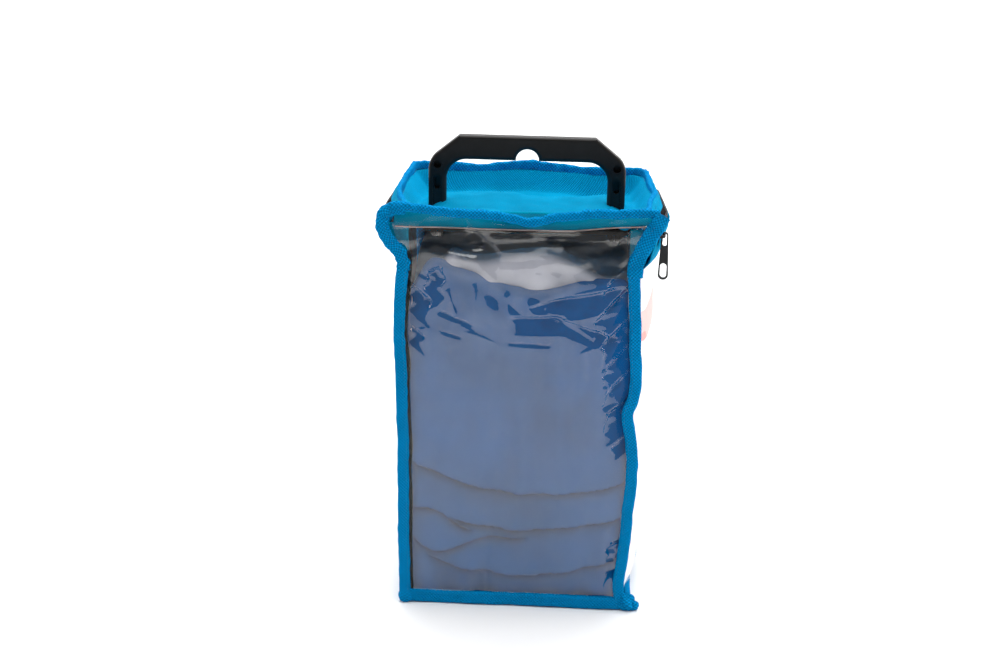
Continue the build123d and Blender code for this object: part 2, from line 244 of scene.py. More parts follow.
def woven(name, colour, pitch, strength=0.5, sheen=0.25):
    """Plain-woven cloth: over-and-under threads, fuzz, slow tone changes and painted shade in the creases.
    """
    material, tree, shader, _ = new_material(name)
    uv, u, v = uv_axes(tree)
    weave = crossed_waves(tree, u, v, 2 * math.pi / pitch)
    fuzz = noise_node(tree, uv, 1500.0, 3.0, 0.7)
    tone = noise_node(tree, uv, 16.0, 4.0, 0.55)
    base = ramp(tree, tone, 0.3, 0.7, shade(colour, 0.8), shade(colour, 1.15))
    # painted shade: the mesh's mark darkens the colour along the creases
    shade_mix = tree.nodes.new("ShaderNodeMixRGB")
    shade_mix.inputs[2].default_value = (*shade(colour, 0.12), 1)
    tree.links.new(painted_light_mark(tree), shade_mix.inputs[0])
    tree.links.new(base, shade_mix.inputs[1])
    tree.links.new(shade_mix.outputs[0], shader.inputs["Base Color"])
    bump(tree, shader, math_node(tree, "MULTIPLY_ADD", fuzz, 0.6, weave), strength, 0.00012)
    set_inputs(shader, Roughness=0.85, Specular_IOR_Level=0.06, Sheen_Weight=sheen, Sheen_Roughness=0.45)
    return material


FILM_COVER = 0.3  # how much of the view the film's mirror hides


def clear_film(name, gloss):
    """Thin clear vinyl: mirror-like reflection over an open view, stronger at a glancing angle, painted out
    where the mesh's mark says.
    """
    material, tree, shader, output = new_material(name)
    set_inputs(shader, Base_Color=(0.97, 0.95, 0.92, 1), Metallic=1.0, Roughness=0.045, Alpha=FILM_COVER)
    clear = tree.nodes.new("ShaderNodeBsdfTransparent")
    clear.inputs[0].default_value = (0.95, 0.965, 0.97, 1)
    fresnel = tree.nodes.new("ShaderNodeFresnel")
    fresnel.inputs["IOR"].default_value = 1.5
    # painted reflection: the mesh's mark cuts the mirror back in set places
    reflection_kept = math_node(tree, "SUBTRACT", 1.0, math_node(tree, "MULTIPLY", painted_light_mark(tree), 0.8))
    mirror = math_node(tree, "MULTIPLY", fresnel.outputs[0], gloss / FILM_COVER)
    factor = math_node(tree, "MULTIPLY", math_node(tree, "MINIMUM", mirror, 1.0), reflection_kept)
    mix = tree.nodes.new("ShaderNodeMixShader")
    for value, socket in zip((factor, clear.outputs[0], shader.outputs[0]), mix.inputs):
        tree.links.new(value, socket)
    tree.links.new(mix.outputs[0], output.inputs[0])
    bump(tree, shader, noise_node(tree, object_vector(tree), 55.0, 2.0, 0.45), 0.25, 0.0008)
    return material


def moulded(name, colour, roughness, grain=2400.0, strength=0.25, coat=0.0):
    """Moulded plastic or enamel with a fine grain and slightly uneven gloss."""
    material, tree, shader, _ = new_material(name)
    vector = object_vector(tree)
    patches = noise_node(tree, vector, 60.0, 4.0, 0.6)
    base = ramp(tree, patches, 0.3, 0.75, shade(colour, 0.8), shade(colour, 1.35))
    tree.links.new(base, shader.inputs["Base Color"])
    gloss = math_node(tree, "MULTIPLY_ADD", patches, 0.16, roughness - 0.08)
    tree.links.new(gloss, shader.inputs["Roughness"])
    bump(tree, shader, noise_node(tree, vector, grain, 3.0, 0.6), strength, 0.00006)
    set_inputs(shader, Specular_IOR_Level=0.22, Coat_Weight=coat, Coat_Roughness=0.12)
    return material


RULE_PITCH = 0.017  # spacing of the card's slanted rules, in metres
SWEEP_LOW = 0.226  # lowest height of the red sweep's middle line, in metres
SWEEP_HALF = 0.012  # half the width of the red sweep


def printed_card(name):
    """White card with faint slanted pink rules and one soft red sweep, no lettering."""
    material, tree, shader, _ = new_material(name)
    uv, u, v = uv_axes(tree)
    lean = math_node(tree, "ADD", u, math_node(tree, "MULTIPLY", v, -0.75))
    slant = math_node(tree, "SINE", math_node(tree, "MULTIPLY", lean, 2 * math.pi / RULE_PITCH))
    rules = math_node(tree, "GREATER_THAN", slant, 0.93)
    dash = math_node(tree, "GREATER_THAN", noise_node(tree, uv, 130.0, 1.0), 0.44)
    rules = math_node(tree, "MULTIPLY", math_node(tree, "MULTIPLY", rules, dash), 0.55)
    arc = math_node(tree, "POWER", math_node(tree, "ABSOLUTE", math_node(tree, "SUBTRACT", u, 0.02)), 1.6)
    sweep = math_node(tree, "SUBTRACT", v, math_node(tree, "MULTIPLY_ADD", arc, 2.2, SWEEP_LOW))
    band = math_node(tree, "LESS_THAN", math_node(tree, "ABSOLUTE", sweep), SWEEP_HALF)
    paper = ramp(tree, rules, 0.0, 1.0, (0.86, 0.86, 0.87), (0.8, 0.16, 0.14))
    mix = tree.nodes.new("ShaderNodeMixRGB")
    mix.inputs[2].default_value = (0.8, 0.2, 0.17, 1)
    tree.links.new(math_node(tree, "MULTIPLY", band, 0.85), mix.inputs[0])
    tree.links.new(paper, mix.inputs[1])
    tree.links.new(mix.outputs[0], shader.inputs["Base Color"])
    bump(tree, shader, noise_node(tree, uv, 900.0, 3.0), 0.15, 0.0001)
    set_inputs(shader, Roughness=0.45)
    return material


def board(name):
    """Grey-brown pulp board."""
    material, tree, shader, _ = new_material(name)
    flecks = noise_node(tree, object_vector(tree), 400.0, 5.0, 0.7)
    base = ramp(tree, flecks, 0.3, 0.7, (0.3, 0.24, 0.17), (0.5, 0.43, 0.33))
    tree.links.new(base, shader.inputs["Base Color"])
    bump(tree, shader, flecks, 0.3, 0.0002)
    set_inputs(shader, Roughness=0.9)
    return material


fabric_blue = nonwoven("embossed_blue", (0.0, 0.33, 0.6))
tape_blue = nonwoven("binding_blue", (0.0, 0.25, 0.58), pitch=0.0019, pit_shade=0.4)
hem_blue = nonwoven("hem_blue", (0.0, 0.3, 0.46), emboss=0.3, pit_shade=0.08)
# painted shade: near-black cloth for the dark gap beside the left binding
gap_shade_cloth = woven("gap_shade_strip", (0.008, 0.014, 0.016), 0.0010, 0.5, 0.0)
thread_blue = woven("stitch_thread", (0.0, 0.2, 0.45), 0.0006)
film_front = clear_film("vinyl_front", 2.4)
film_side = clear_film("vinyl_side", 2.0)
card_print = printed_card("card_print")
cloth_blue = woven("royal_cloth", (0.0, 0.1, 0.315), 0.0009, 0.2, 0.03)
cloth_white = woven("white_cloth", (0.6, 0.6, 0.67), 0.0011, 0.5, 0.05)
zip_tape_black = woven("zip_tape_black", (0.006, 0.006, 0.008), 0.0012, 0.6, 0.0)
coil_black = moulded("zip_coil_black", (0.01, 0.01, 0.011), 0.32, 1500.0, 0.2)
handle_black = moulded("handle_black", (0.009, 0.008, 0.0075), 0.36, 2600.0, 0.4)
enamel_black = moulded("enamel_black", (0.006, 0.006, 0.007), 0.24, 900.0, 0.12, 0.15)
board_brown = board("pulp_board")
# painted highlight: the film lip's pale pinkish colour stands for the light line along the fold
lip_highlight = moulded("film_fold_highlight", (0.36, 0.27, 0.25), 0.3, 700.0, 0.2)


# ---- mesh makers
def mesh_object(name, vertices, faces, material, uvs, mark=None):
    """A smooth-shaded mesh from millimetre points, with per-corner coordinates in metres."""
    mesh = bpy.data.meshes.new(name)
    mesh.from_pydata([tuple(float(c) * MM for c in p) for p in vertices], [], faces)
    layer = mesh.uv_layers.new(name="UVMap")
    flat = np.array([uvs[i] for face in faces for i in face], np.float32) * MM
    layer.data.foreach_set("uv", flat.ravel())
    if mark is not None:
        values = np.asarray(mark, np.float32).ravel()
        mesh.attributes.new("mark", "FLOAT", "POINT").data.foreach_set("value", values)
    mesh.materials.append(material)
    mesh.polygons.foreach_set("use_smooth", [True] * len(mesh.polygons))
    mesh.update()
    piece = bpy.data.objects.new(name, mesh)
    bpy.context.scene.collection.objects.link(piece)
    return piece


def arc_lengths(points, axis):
    """Running length along one axis of a grid of points."""
    steps = np.linalg.norm(np.diff(points, axis=axis), axis=2)
    total = np.cumsum(steps, axis=axis)
    first = np.zeros_like(np.take(total, [0], axis=axis))
    return np.concatenate([first, total], axis=axis)


def path_lengths(path):
    """Running length along a line of points."""
    return np.concatenate([[0], np.cumsum(np.linalg.norm(np.diff(path, axis=0), axis=1))])


def at_length(place_at, lengths, values):
    """Values along a line, at one running length or several."""
    return np.stack([np.interp(place_at, lengths, column) for column in values.T], axis=-1)


def grid(x, y, z, flip=False):
    """A grid of points; flip turns its outer face to the other side."""
    points = np.stack([x, y, z], axis=2)
    return points[:, ::-1] if flip else points


def grid_parts(points):
    """A grid's corners, their surface coordinates and the faces between them."""
    rows, columns = points.shape[:2]
    along = arc_lengths(points, 0).mean(axis=1, keepdims=True) * np.ones((1, columns))
    across = arc_lengths(points, 1).mean(axis=0, keepdims=True) * np.ones((rows, 1))
    faces = []
    for i in range(rows - 1):
        for j in range(columns - 1):
            a = i * columns + j
            faces.append((a, a + 1, a + columns + 1, a + columns))
    return points.reshape(-1, 3), np.stack([across, along], axis=2).reshape(-1, 2), faces


def rod_faces(first, rings, sides):
    """Faces of a short closed rod whose rings of corners start at the given index."""
    faces = []
    for ring_start in range(first, first + (rings - 1) * sides, sides):
        for k in range(sides):
            a, b = ring_start + k, ring_start + (k + 1) % sides
            faces.append((a, b, b + sides, a + sides))
    faces.append(tuple(range(first + sides - 1, first - 1, -1)))
    faces.append(tuple(range(first + (rings - 1) * sides, first + rings * sides)))
    return faces


def sheet_piece(name, points, material, thickness=0.0, ring=False, mark=None):
    """A sheet from a grid of points; ring joins the last row of columns to the first."""
    if ring:
        points = np.concatenate([points, points[:, :1]], axis=1)
        mark = None if mark is None else np.concatenate([mark, mark[:, :1]], axis=1)
    vertices, uvs, faces = grid_parts(points)
    piece = mesh_object(name, vertices, faces, material, uvs, mark)
    if thickness:
        solid = piece.modifiers.new("thickness", "SOLIDIFY")
        solid.thickness = thickness * MM
        solid.offset = 0.0
    return piece


END_PUSH = 1.2  # how far a swept strip's end stands out at its middle


def tube(name, path, outward, section, material, ripple=None):
    """A strip with a closed section swept along a path; outward is the section's x direction,
    one for the whole strip or one for each point."""
    path = np.asarray(path, float)
    tangent = np.gradient(path, axis=0)
    tangent /= np.linalg.norm(tangent, axis=1, keepdims=True)
    out = np.broadcast_to(np.asarray(outward, float), path.shape)
    out = out - (out * tangent).sum(axis=1, keepdims=True) * tangent
    out /= np.linalg.norm(out, axis=1, keepdims=True)
    side = np.cross(tangent, out)
    section = np.asarray(section, float)
    rows, sides = len(path), len(section)
    scale = np.ones((rows, sides))
    if ripple is not None:
        scale = ripple(np.arange(rows)[:, None], np.arange(sides)[None, :])
    points = (
        path[:, None, :]
        + out[:, None, :] * (section[None, :, 0] * scale)[:, :, None]
        + side[:, None, :] * (section[None, :, 1] * scale)[:, :, None]
    )
    vertices, uvs, faces = map(list, grid_parts(np.concatenate([points, points[:, :1]], axis=1)))
    for row, push in ((0, -END_PUSH), (rows - 1, END_PUSH)):
        centre = len(vertices)
        vertices.append(path[row] + tangent[row] * push)
        uvs.append(uvs[row * (sides + 1)])
        for j in range(sides):
            a = row * (sides + 1) + j
            faces.append((centre, a + 1, a) if row == 0 else (centre, a, a + 1))
    piece = mesh_object(name, vertices, faces, material, uvs)
    weld = piece.modifiers.new("weld", "WELD")
    weld.merge_threshold = 0.00001
    return piece


def rounded_section(wide, thick, corner, count=5):
    """A closed rounded rectangle, wide along x and thick along y."""
    points = []
    for sx, sy, start in ((1, 1, 0), (-1, 1, 90), (-1, -1, 180), (1, -1, 270)):
        for step in range(count):
            angle = math.radians(start + 90 * step / (count - 1))
            x = sx * (wide / 2 - corner) + corner * math.cos(angle)
            y = sy * (thick / 2 - corner) + corner * math.sin(angle)
            points.append((x, y))
    return points


STITCH_PITCH, STITCH_LONG, THREAD = 3.0, 2.1, 0.22  # spacing, length and radius of a stitch
STITCH_SIDES = 6


def stitches(name, path, outward, lift):
    """A row of thread stitches lying on a strip."""
    path = np.asarray(path, float)
    lengths = path_lengths(path)
    out = np.broadcast_to(np.asarray(outward, float), path.shape)
    vertices, faces, uvs = [], [], []
    for start in np.arange(1.0, lengths[-1] - STITCH_LONG, STITCH_PITCH):
        low, high = (at_length(s, lengths, path) for s in (start, start + STITCH_LONG))
        normal = at_length(start, lengths, out)
        normal /= np.linalg.norm(normal)
        across = np.cross((high - low) / np.linalg.norm(high - low), normal)
        faces += rod_faces(len(vertices), 4, STITCH_SIDES)
        for share, size in ((0, 0.4), (0.2, 1.0), (0.8, 1.0), (1, 0.4)):
            centre = low + (high - low) * share + normal * lift
            sink = 0.0 if 0 < share < 1 else -THREAD
            for k in range(STITCH_SIDES):
                angle = 2 * k * math.pi / STITCH_SIDES
                offset = across * math.cos(angle) * size + normal * math.sin(angle) * size
                vertices.append(centre + offset * THREAD + normal * sink)
                uvs.append((k, share))
    return mesh_object(name, vertices, faces, thread_blue, uvs)


def place(piece, body, slot, *nodes):
    """Rides a piece on its body, or bakes its place into its mesh for the lid's hinge; hides the given
    nodes. The slot is not used.
    """
    if body == "lid hinge":
        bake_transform(piece)
    else:
        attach(piece, body)
    if nodes:
        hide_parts(*nodes)
    return piece


# ---- the bag's real outline
# sideways shift of the soft front seams from the frame's straight ones, by height
LEFT_EDGE = [
    (0, 1.0), (50, 0.3), (110, -0.2), (170, -1.0), (215, -2.4), (238, -3.2), (262, -2.2), (290, 0.0),
    (330, 0.0),
]
RIGHT_EDGE = [
    (0, -4.5), (26, -5.5), (44, -4.0), (88, -1.4), (124, -0.6), (150, -2.2), (172, -5.0), (183, -1.4),
    (203, -0.7), (226, -2.4), (250, -3.6), (277, -5.2), (290, -5.2), (330, -5.2),
]
BACK_SPREAD = (-2.0, 6.5)  # how far the left and right back corners stand from the frame's at the floor


def edge_shift(x, y, z):
    """How far the soft wall stands from the frame's straight wall, sideways."""
    front = 1 - smooth(y, front_y, front_y + 70)
    fade = 1 - 0.45 * smooth(z, 0, 260)
    left = through(z, LEFT_EDGE) * front + (1 - front) * BACK_SPREAD[0] * fade
    right = through(z, RIGHT_EDGE) * front + (1 - front) * BACK_SPREAD[1] * fade
    t = (np.asarray(x, float) / binding_x + 1) / 2
    return left * (1 - t) + right * t


def wall_bulge(sign, y, z):
    """How far a side wall bellies out between its bindings, more on the right."""
    share = np.clip((np.asarray(y, float) - front_y) / (back_y - front_y), 0, 1)
    deepest = 10.0 if sign > 0 else 7.0
    return deepest * np.sin(np.pi * share) ** 0.8 * smooth(z, -30, 100)


def zip_line(y):
    """Sideways reach of the zip at a given depth."""
    slope = (zip_reach - slider_x) / (WIDEST_Y - slider_y)
    rising = slider_x + slope * (np.asarray(y, float) - slider_y)
    falling = zip_reach - 0.06 * (np.asarray(y, float) - WIDEST_Y)
    return (rising + falling) / 2 - np.sqrt(((rising - falling) / 2) ** 2 + 0.6**2) + 0.3


def ring(reach, back, corner, front, side_count=70, corner_count=16, back_count=90):
    """Plan outline round the left side, back and right side, with the same point count for every ring."""
    side_y = np.linspace(front, back - corner, side_count)
    side = np.stack([reach(side_y), side_y], axis=1)
    end_x = reach(back - corner)
    angles = np.linspace(0, math.pi / 2, corner_count + 2)[1:-1]
    middle_of_turn = np.array([end_x - corner, back - corner])
    turn = middle_of_turn + corner * np.stack([np.cos(angles), np.sin(angles)], axis=1)
    back_x = np.linspace(end_x - corner, -(end_x - corner), back_count)
    back_line = np.stack([back_x, np.full(back_count, back)], axis=1)
    right_half = np.concatenate([side, turn])
    left_half = right_half[::-1] * np.array([-1.0, 1.0])
    return np.concatenate([right_half, back_line, left_half])


def ring_normals(plan):
    """Outward directions of a ring."""
    tangent = np.gradient(plan, axis=0)
    normal = np.stack([tangent[:, 1], -tangent[:, 0]], axis=1)
    return normal / np.linalg.norm(normal, axis=1, keepdims=True)


def lifted(plan, height):
    """A plan outline at one height or a height for each point."""
    heights = np.broadcast_to(np.asarray(height, float).reshape(-1, 1), (len(plan), 1))
    return np.concatenate([plan, heights], axis=1)


# ---- clear film windows
EAR_START = 287.0  # above this the front opens sideways into its ears


def front_span(z):
    """Left and right edge of the front opening at a height."""
    flare = smooth(z, EAR_START, EAR_START + 32)
    left = -binding_x + edge_shift(-binding_x, front_y, z) + 1 - 10.0 * flare
    right = binding_x + edge_shift(binding_x, front_y, z) - 1 + 13.0 * flare
    return left, right


# pockets in the film: middle x and height of the lower edge, half width, height, lean, depth
POCKETS = [
    (12, 232, 22, 16, 0.02, 4.2), (6, 222, 20, 4.5, -0.04, 1.1), (48, 247, 30, 20, 0.22, 5.4),
    (50, 226, 24, 14, -0.34, 4.0), (24, 252, 16, 9, 0.35, 2.4), (-78, 243, 8, 24, -0.9, 5.4),
    (-79, 217, 6, 18, -0.8, 4.2), (-50, 240, 16, 6, -0.42, 1.7), (-52, 228, 10, 4, -0.3, 1.0),
    (-66, 252, 7, 32, 0.5, 5.4), (-52, 294, 24, 9, -0.12, 3.2), (-30, 284, 14, 26, -0.9, 6.4),
    (-16, 297, 30, 8, 0.05, 2.0), (20, 302, 34, 6, 0.0, 1.6), (62, 280, 10, 8, 0.3, 2.4),
    (72, 288, 13, 20, 1.2, 5.2), (76, 262, 13, 26, 1.1, 6.4), (73, 240, 18, 26, 1.15, 6.4),
    (76, 218, 14, 26, 1.2, 6.4), (77, 196, 13, 26, 1.2, 6.4), (78, 174, 13, 27, 1.1, 6.6),
    (77, 148, 11, 30, 0.8, 6.8), (80, 134, 7, 16, 0.9, 4.0), (80, 34, 7, 28, 0.4, 5.6),
    (80, 12, 8, 24, 0.3, 5.2),
]


def pockets(x, z):
    """Sum of the film's pockets, each sloping back slowly as it rises and springing forward at its top."""
    total = 0.0
    for middle_x, low, half_width, tall, lean, depth in POCKETS:
        ragged = 1.2 * waves(z, x * 0, 9, int(low))
        across = 1 - ((x - middle_x + ragged) / half_width) ** 2
        along = (z - low - lean * (x - middle_x)) / tall
        rise = np.clip(along, 0, 1) / 0.84
        fall = (1 - np.clip(along, 0, 1)) / 0.16
        total = total + depth * np.minimum(rise, fall) * np.clip(across, 0, 1) ** 0.6
    return total


# creases in the film: both ends, half width, depth (negative stands out)
CREASES = [
    (14, 256, 62, 220, 2.6, 1.5), (-38, 272, -30, 238, 3.5, -1.3), (-10, 262, 8, 238, 3.0, 1.0),
    (30, 260, 74, 276, 2.0, -1.2), (-58, 266, -44, 240, 2.5, -1.2), (-48, 233, -10, 222, 1.6, -0.7),
    (60, 248, 84, 264, 2.6, -0.6), (40, 214, 82, 232, 2.0, -1.0), (-76, 236, -68, 186, 5.0, -1.3),
    (-26, 236, -22, 170, 6.0, -0.9), (62, 212, 74, 178, 3.0, -1.0), (-60, 300, -20, 290, 1.8, 1.0),
    (0, 300, 44, 284, 2.6, -1.0), (-80, 282, -66, 268, 1.6, 1.2), (48, 306, 72, 286, 2.6, 1.2),
]


def creases(x, z):
    """Sum of the film's straight creases, sharp along their middle and fading at their ends."""
    total = 0.0
    for x0, z0, x1, z1, half_width, depth in CREASES:
        length = math.hypot(x1 - x0, z1 - z0)
        along = ((x - x0) * (x1 - x0) + (z - z0) * (z1 - z0)) / length**2
        bend = 2.0 * np.sin(3.0 * along + z0)
        across = ((x - x0) * (z1 - z0) - (z - z0) * (x1 - x0)) / length + bend
        fade = np.sin(np.pi * np.clip(along, 0, 1)) ** 0.7
        total = total + depth * np.exp(-np.abs(across) / half_width) * fade
    return total


def film_depth(x, z):
    """How far back the front window lies: nearly flat low down, crumpled at the top and along the right."""
    y = front_y - 2.0 * hump(x, 0, 75) * smooth(z, 0, 60) * (1 - smooth(z, 225, 300))
    y += 0.20 * waves(x, z, 60, 3) + 0.04 * waves(x, z * 1.5, 16, 4)
    top = smooth(z, 205, 262)
    y += top * 0.9 * waves(x * 0.8 + z * 0.55, z * 1.25, 52, 21)
    y += top * 0.22 * waves(x + z * 0.8, z - x * 0.25, 18, 8)
    y += 0.85 * smooth(z, 280, 292) * waves(x * 0.6 + z * 0.3, z * 1.5 - x * 0.2, 27, 33)
    y += 0.9 * pockets(x, z) + creases(x, z) - 1.0 * top
    y += 4.8 * smooth(z, HEM_LOW - 2, seam_z + 8)
    return np.clip(y, front_y - 4.2, front_y + 5.6)


# patches where the film's reflection is painted out, standing for film turned away from the light: middle x
# and height, half width, half height, lean
SHEEN_GAPS = [
    (-56, 304, 25, 8, -0.05), (-8, 310, 18, 3, 0.0), (50, 299, 30, 10, -0.12), (64, 286, 17, 6, -0.2),
]


def painted_reflection_cut(x, z):
    """Where the front film's reflection is painted out: strips beside the right and left seams, the hem, and
    a few patches.
    """
    from_seam = front_span(z)[1] - x
    points = np.abs(((z + 1.3 * from_seam) / 12.5) % 1.0 - 0.5) * 2
    reach = 7.5 + 6.5 * points * smooth(z, 195, 225) + 2.5 * waves(z, 0 * z, 34, 36)
    beside = smooth(reach - from_seam, -0.8, 0.8) * smooth(z, 140, 158) * (1 - smooth(z, 256, 266))
    total = np.maximum(beside, smooth(z, HEM_LOW - 0.5, HEM_LOW + 2.0))
    total = np.maximum(total, smooth(6.0 - x + front_span(z)[0], -0.4, 0.4) * (1 - smooth(z, 292, 298)))
    ragged = 0.4 * waves(x, z * 1.6, 17, 38)
    for middle_x, middle_z, half_x, half_z, lean in SHEEN_GAPS:
        far = ((x - middle_x) / half_x) ** 2 + ((z - middle_z - lean * (x - middle_x)) / half_z) ** 2
        total = np.maximum(total, smooth(1 - far + ragged * (half_x > 8), 0.0, 0.22))
    return total


def front_film():
    """The front window."""
    share, z = np.meshgrid(np.linspace(0, 1, 300), np.linspace(hem_tall - 4, seam_z + 5, 420))
    left, right = front_span(z)
    x = left + (right - left) * share
    y = film_depth(x, z)
    # the mark paints the film's reflection out in the places listed above
    piece = sheet_piece("front_film", grid(x, y, z), film_front, mark=painted_reflection_cut(x, z))
    return place(piece, "bag", "clear_vinyl", "front_window")


def side_grid(sign, y, z, out):
    """Points of a side sheet that stands out from the middle by the given distance."""
    return grid(sign * out + edge_shift(sign * binding_x, y, z), y, z, flip=sign < 0)


def side_film(name, sign, node):
    """A side window that bellies out a little."""
    ys = np.linspace(front_y + 2, back_y - 2, 110)
    y, z = np.meshgrid(ys, np.linspace(hem_tall - 4, window_top + 2, 200))
    ripple = 0.7 * waves(y, z, 55, 41 + sign) + 0.25 * waves(y, z, 18, 47 + sign) * smooth(z, 180, 260)
    points = side_grid(sign, y, z, side_x + wall_bulge(sign, y, z) + ripple)
    return place(sheet_piece(name, points, film_side), "bag", "clear_vinyl", node)


def insert_card(name, sign, node):
    """Printed card standing just inside a side window."""
    ys = np.linspace(front_y + 7, back_y - 7, 70)
    y, z = np.meshgrid(ys, np.linspace(hem_tall + 0.5, window_top - 5, 120))
    out = side_x - 1.3 + wall_bulge(sign, y, z) * 0.96 + 0.5 * waves(y, z, 90, 61 + sign)
    piece = sheet_piece(name, side_grid(sign, y, z, out), card_print, 0.35)
    return place(piece, "bag", "printed_card", node)


# ---- fabric walls
RING_STEP = 2.6  # usual distance between two points of a ring


def back_wall():
    """The back panel, slack fabric with a few soft vertical waves."""
    xs = np.linspace(-binding_x, binding_x, 130)
    zs = np.linspace(hem_tall - 5, window_top, 180)
    x, z = np.meshgrid(xs, zs)
    inside = np.sin(np.pi * (x + binding_x) / (2 * binding_x))
    inside = inside * np.sin(np.pi * np.clip(z / window_top, 0, 1)) ** 0.6
    y = back_y + inside * (3.2 + waves(x * 1.6, z * 0.5, 55, 71) + 0.25 * waves(x, z, 18, 72))
    x = x + edge_shift(x, y, z)
    piece = sheet_piece("back_wall", grid(x, y, z, flip=True), fabric_blue, 0.7)
    return place(piece, "bag", "blue_nonwoven", "back_panel")


def floor_wall():
    """The bottom panel."""
    xs = np.linspace(-side_x + 2, side_x - 2, 80)
    ys = np.linspace(front_y + 3, back_y - 3, 60)
    x, y = np.meshgrid(xs, ys)
    z = 0.9 + 0.5 * np.abs(waves(x, y, 50, 81)) * hump(x, 0, 70) * hump(y, 0, 50)
    x = x + edge_shift(x, y, 0.0)
    piece = sheet_piece("floor_wall", grid(x, y, z, flip=True), fabric_blue, 0.6)
    return place(piece, "bag", "blue_nonwoven", "bottom_panel")


def upper_band():
    """The band that widens the bag from its windows up to the zip."""
    foot = ring(lambda y: side_x + 0.3 + 0 * y, back_y + 0.8, 6.0, front_y + 3)
    sign, depth = np.sign(foot[:, 0]), foot[:, 1]
    bulge = np.where(sign > 0, wall_bulge(1, depth, window_top), wall_bulge(-1, depth, window_top))
    foot[:, 0] += sign * bulge + edge_shift(sign * binding_x, depth, window_top)
    head = ring(lambda y: zip_line(y) + 0.8, zip_back + 0.8, CORNER, front_y + 3)
    rows = []
    length = np.arange(len(foot)) * RING_STEP
    for share in np.linspace(0, 1, 18):
        plan = foot * (1 - share) + head * share
        ripple = 1.2 + 0.7 * waves(length, share * 30, 26, 91) + 0.3 * waves(length, share * 40, 9, 92)
        plan = plan + ring_normals(plan) * (math.sin(math.pi * share) * ripple)[:, None]
        rows.append(lifted(plan, window_top - 5 + share * (zip_z - 2.6 - window_top + 5)))
    piece = sheet_piece("upper_band", np.stack(rows), fabric_blue, 0.7)
    return place(piece, "bag", "blue_nonwoven", "left_upper_band", "right_upper_band", "back_upper_band")


# ---- bindings
TAPE_STEP = 1.6  # distance between the points of a straight tape
FLARE_STEP = 1.3  # the same on the tapes round the top of the front


def pucker(seed, amount=0.05, length=14.0, step=TAPE_STEP):
    """Section scale that gives a sewn tape its small puckers."""

    def scale(row, column):
        return 1 + amount * waves(row * step + 0 * column, column * 4.0 + 0 * row, length, seed)

    return scale


def sewn_row(name, line, face, lift=0.1):
    """The row of stitches along a tape."""
    return place(stitches(name + "_stitches", line, face, lift), "bag", "blue_binding")


def upright_binding(corner, x_sign, y_place, seed, wobble):
    """A corner seam's folded tape, from the floor up to the band."""
    name = corner + "_tape"
    zs = np.arange(1.5, window_top - 4, TAPE_STEP)
    x = x_sign * binding_x + edge_shift(x_sign * binding_x, y_place, zs)
    x = x + wobble * waves(zs, zs * 0, 38, seed)
    y = y_place + 0.6 * wobble * waves(zs, zs * 0, 30, seed + 1)
    path = np.stack([x, y, zs], axis=1)
    section = rounded_section(binding_wide, 5.2, 1.9)
    piece = tube(name, path, (x_sign, 0.0, 0.0), section, tape_blue, pucker(seed + 2))
    place(piece, "bag", "blue_binding", corner + "_binding")
    face = -1.0 if y_place < 0 else 1.0
    return sewn_row(name, path + np.array([-x_sign * 2.6, face * 2.55, 0.0]), (0.0, face, 0.0))


def level_binding(side, start, end, out, seed):
    """A bottom seam's folded tape between two floor corners."""
    name = side + "_bottom_tape"
    start, end = (np.array([*corner, hem_tall / 2 + 1.2]) for corner in (start, end))
    t = np.linspace(0, 1, int(np.linalg.norm(end - start) / TAPE_STEP))
    path = start + (end - start) * t[:, None]
    path[:, 2] += 0.25 * waves(t * 180, 0, 40, seed)
    path += np.array(out) * (0.5 * waves(t * 180, 0, 50, seed + 1))[:, None]
    section = rounded_section(hem_tall + 1.5, 5.0, 1.9)
    piece = tube(name, path, (0.0, 0.0, 1.0), section, tape_blue, pucker(seed + 2, 0.04))
    place(piece, "bag", "blue_binding", side + "_bottom_binding")
    return sewn_row(name, path + np.array(out) * 2.45 + np.array([0, 0, 2.9]), out)


def bindings():
    """The tapes on the four upright and the four bottom seams."""
    for corner, x_sign, y_place, seed, wobble in (
        ("front_left", -1, front_y, 301, 0.25),
        ("front_right", 1, front_y, 311, 0.5),
        ("back_left", -1, back_y, 321, 0.4),
        ("back_right", 1, back_y, 331, 0.4),
    ):
        upright_binding(corner, x_sign, y_place, seed, wobble)
    corners = np.array([-binding_x, binding_x])
    front_left, front_right = edge_shift(corners, front_y, 0.0)
    back_left, back_right = edge_shift(corners, back_y, 0.0)
    inner = binding_x - 2
    for side, start, end, out, seed in (
        ("front", (front_left - inner, front_y), (front_right + inner, front_y), (0, -1, 0), 341),
        ("back", (back_left - inner, back_y), (back_right + inner, back_y), (0, 1, 0), 351),
        ("left", (front_left - side_x, front_y + 2), (2 - side_x, back_y - 2), (-1, 0, 0), 361),
        ("right", (front_right + side_x + 4, front_y + 2), (side_x + 3, back_y - 2), (1, 0, 0), 371),
    ):
        level_binding(side, start, end, out, seed)


ROLL = [  # x and height above the top seam
    (-104, 4.2), (-99, 7.6), (-88, 8.6), (-70, 6.8), (-52, 5.4), (-30, 4.4), (-12, 2.4), (3, -0.2),
    (12, 0.8), (28, 4.6), (56, 7.8), (75, 8.8), (92, 9.2), (100, 8.6),
]
LEFT_FLARE = [
    (-89.4, -40), (-89.6, -33), (-92.5, -26), (-99, -18.5), (-103.8, -10.5), (-105.0, -3.0), (-103, 3.6),
    (-97, 7.4), (-88, 8.0),
]
RIGHT_FLARE = [(84.3, -40), (84.5, -31), (86.6, -24), (91.2, -14), (95.6, -6), (99.6, 1.6), (102.6, 8.0)]


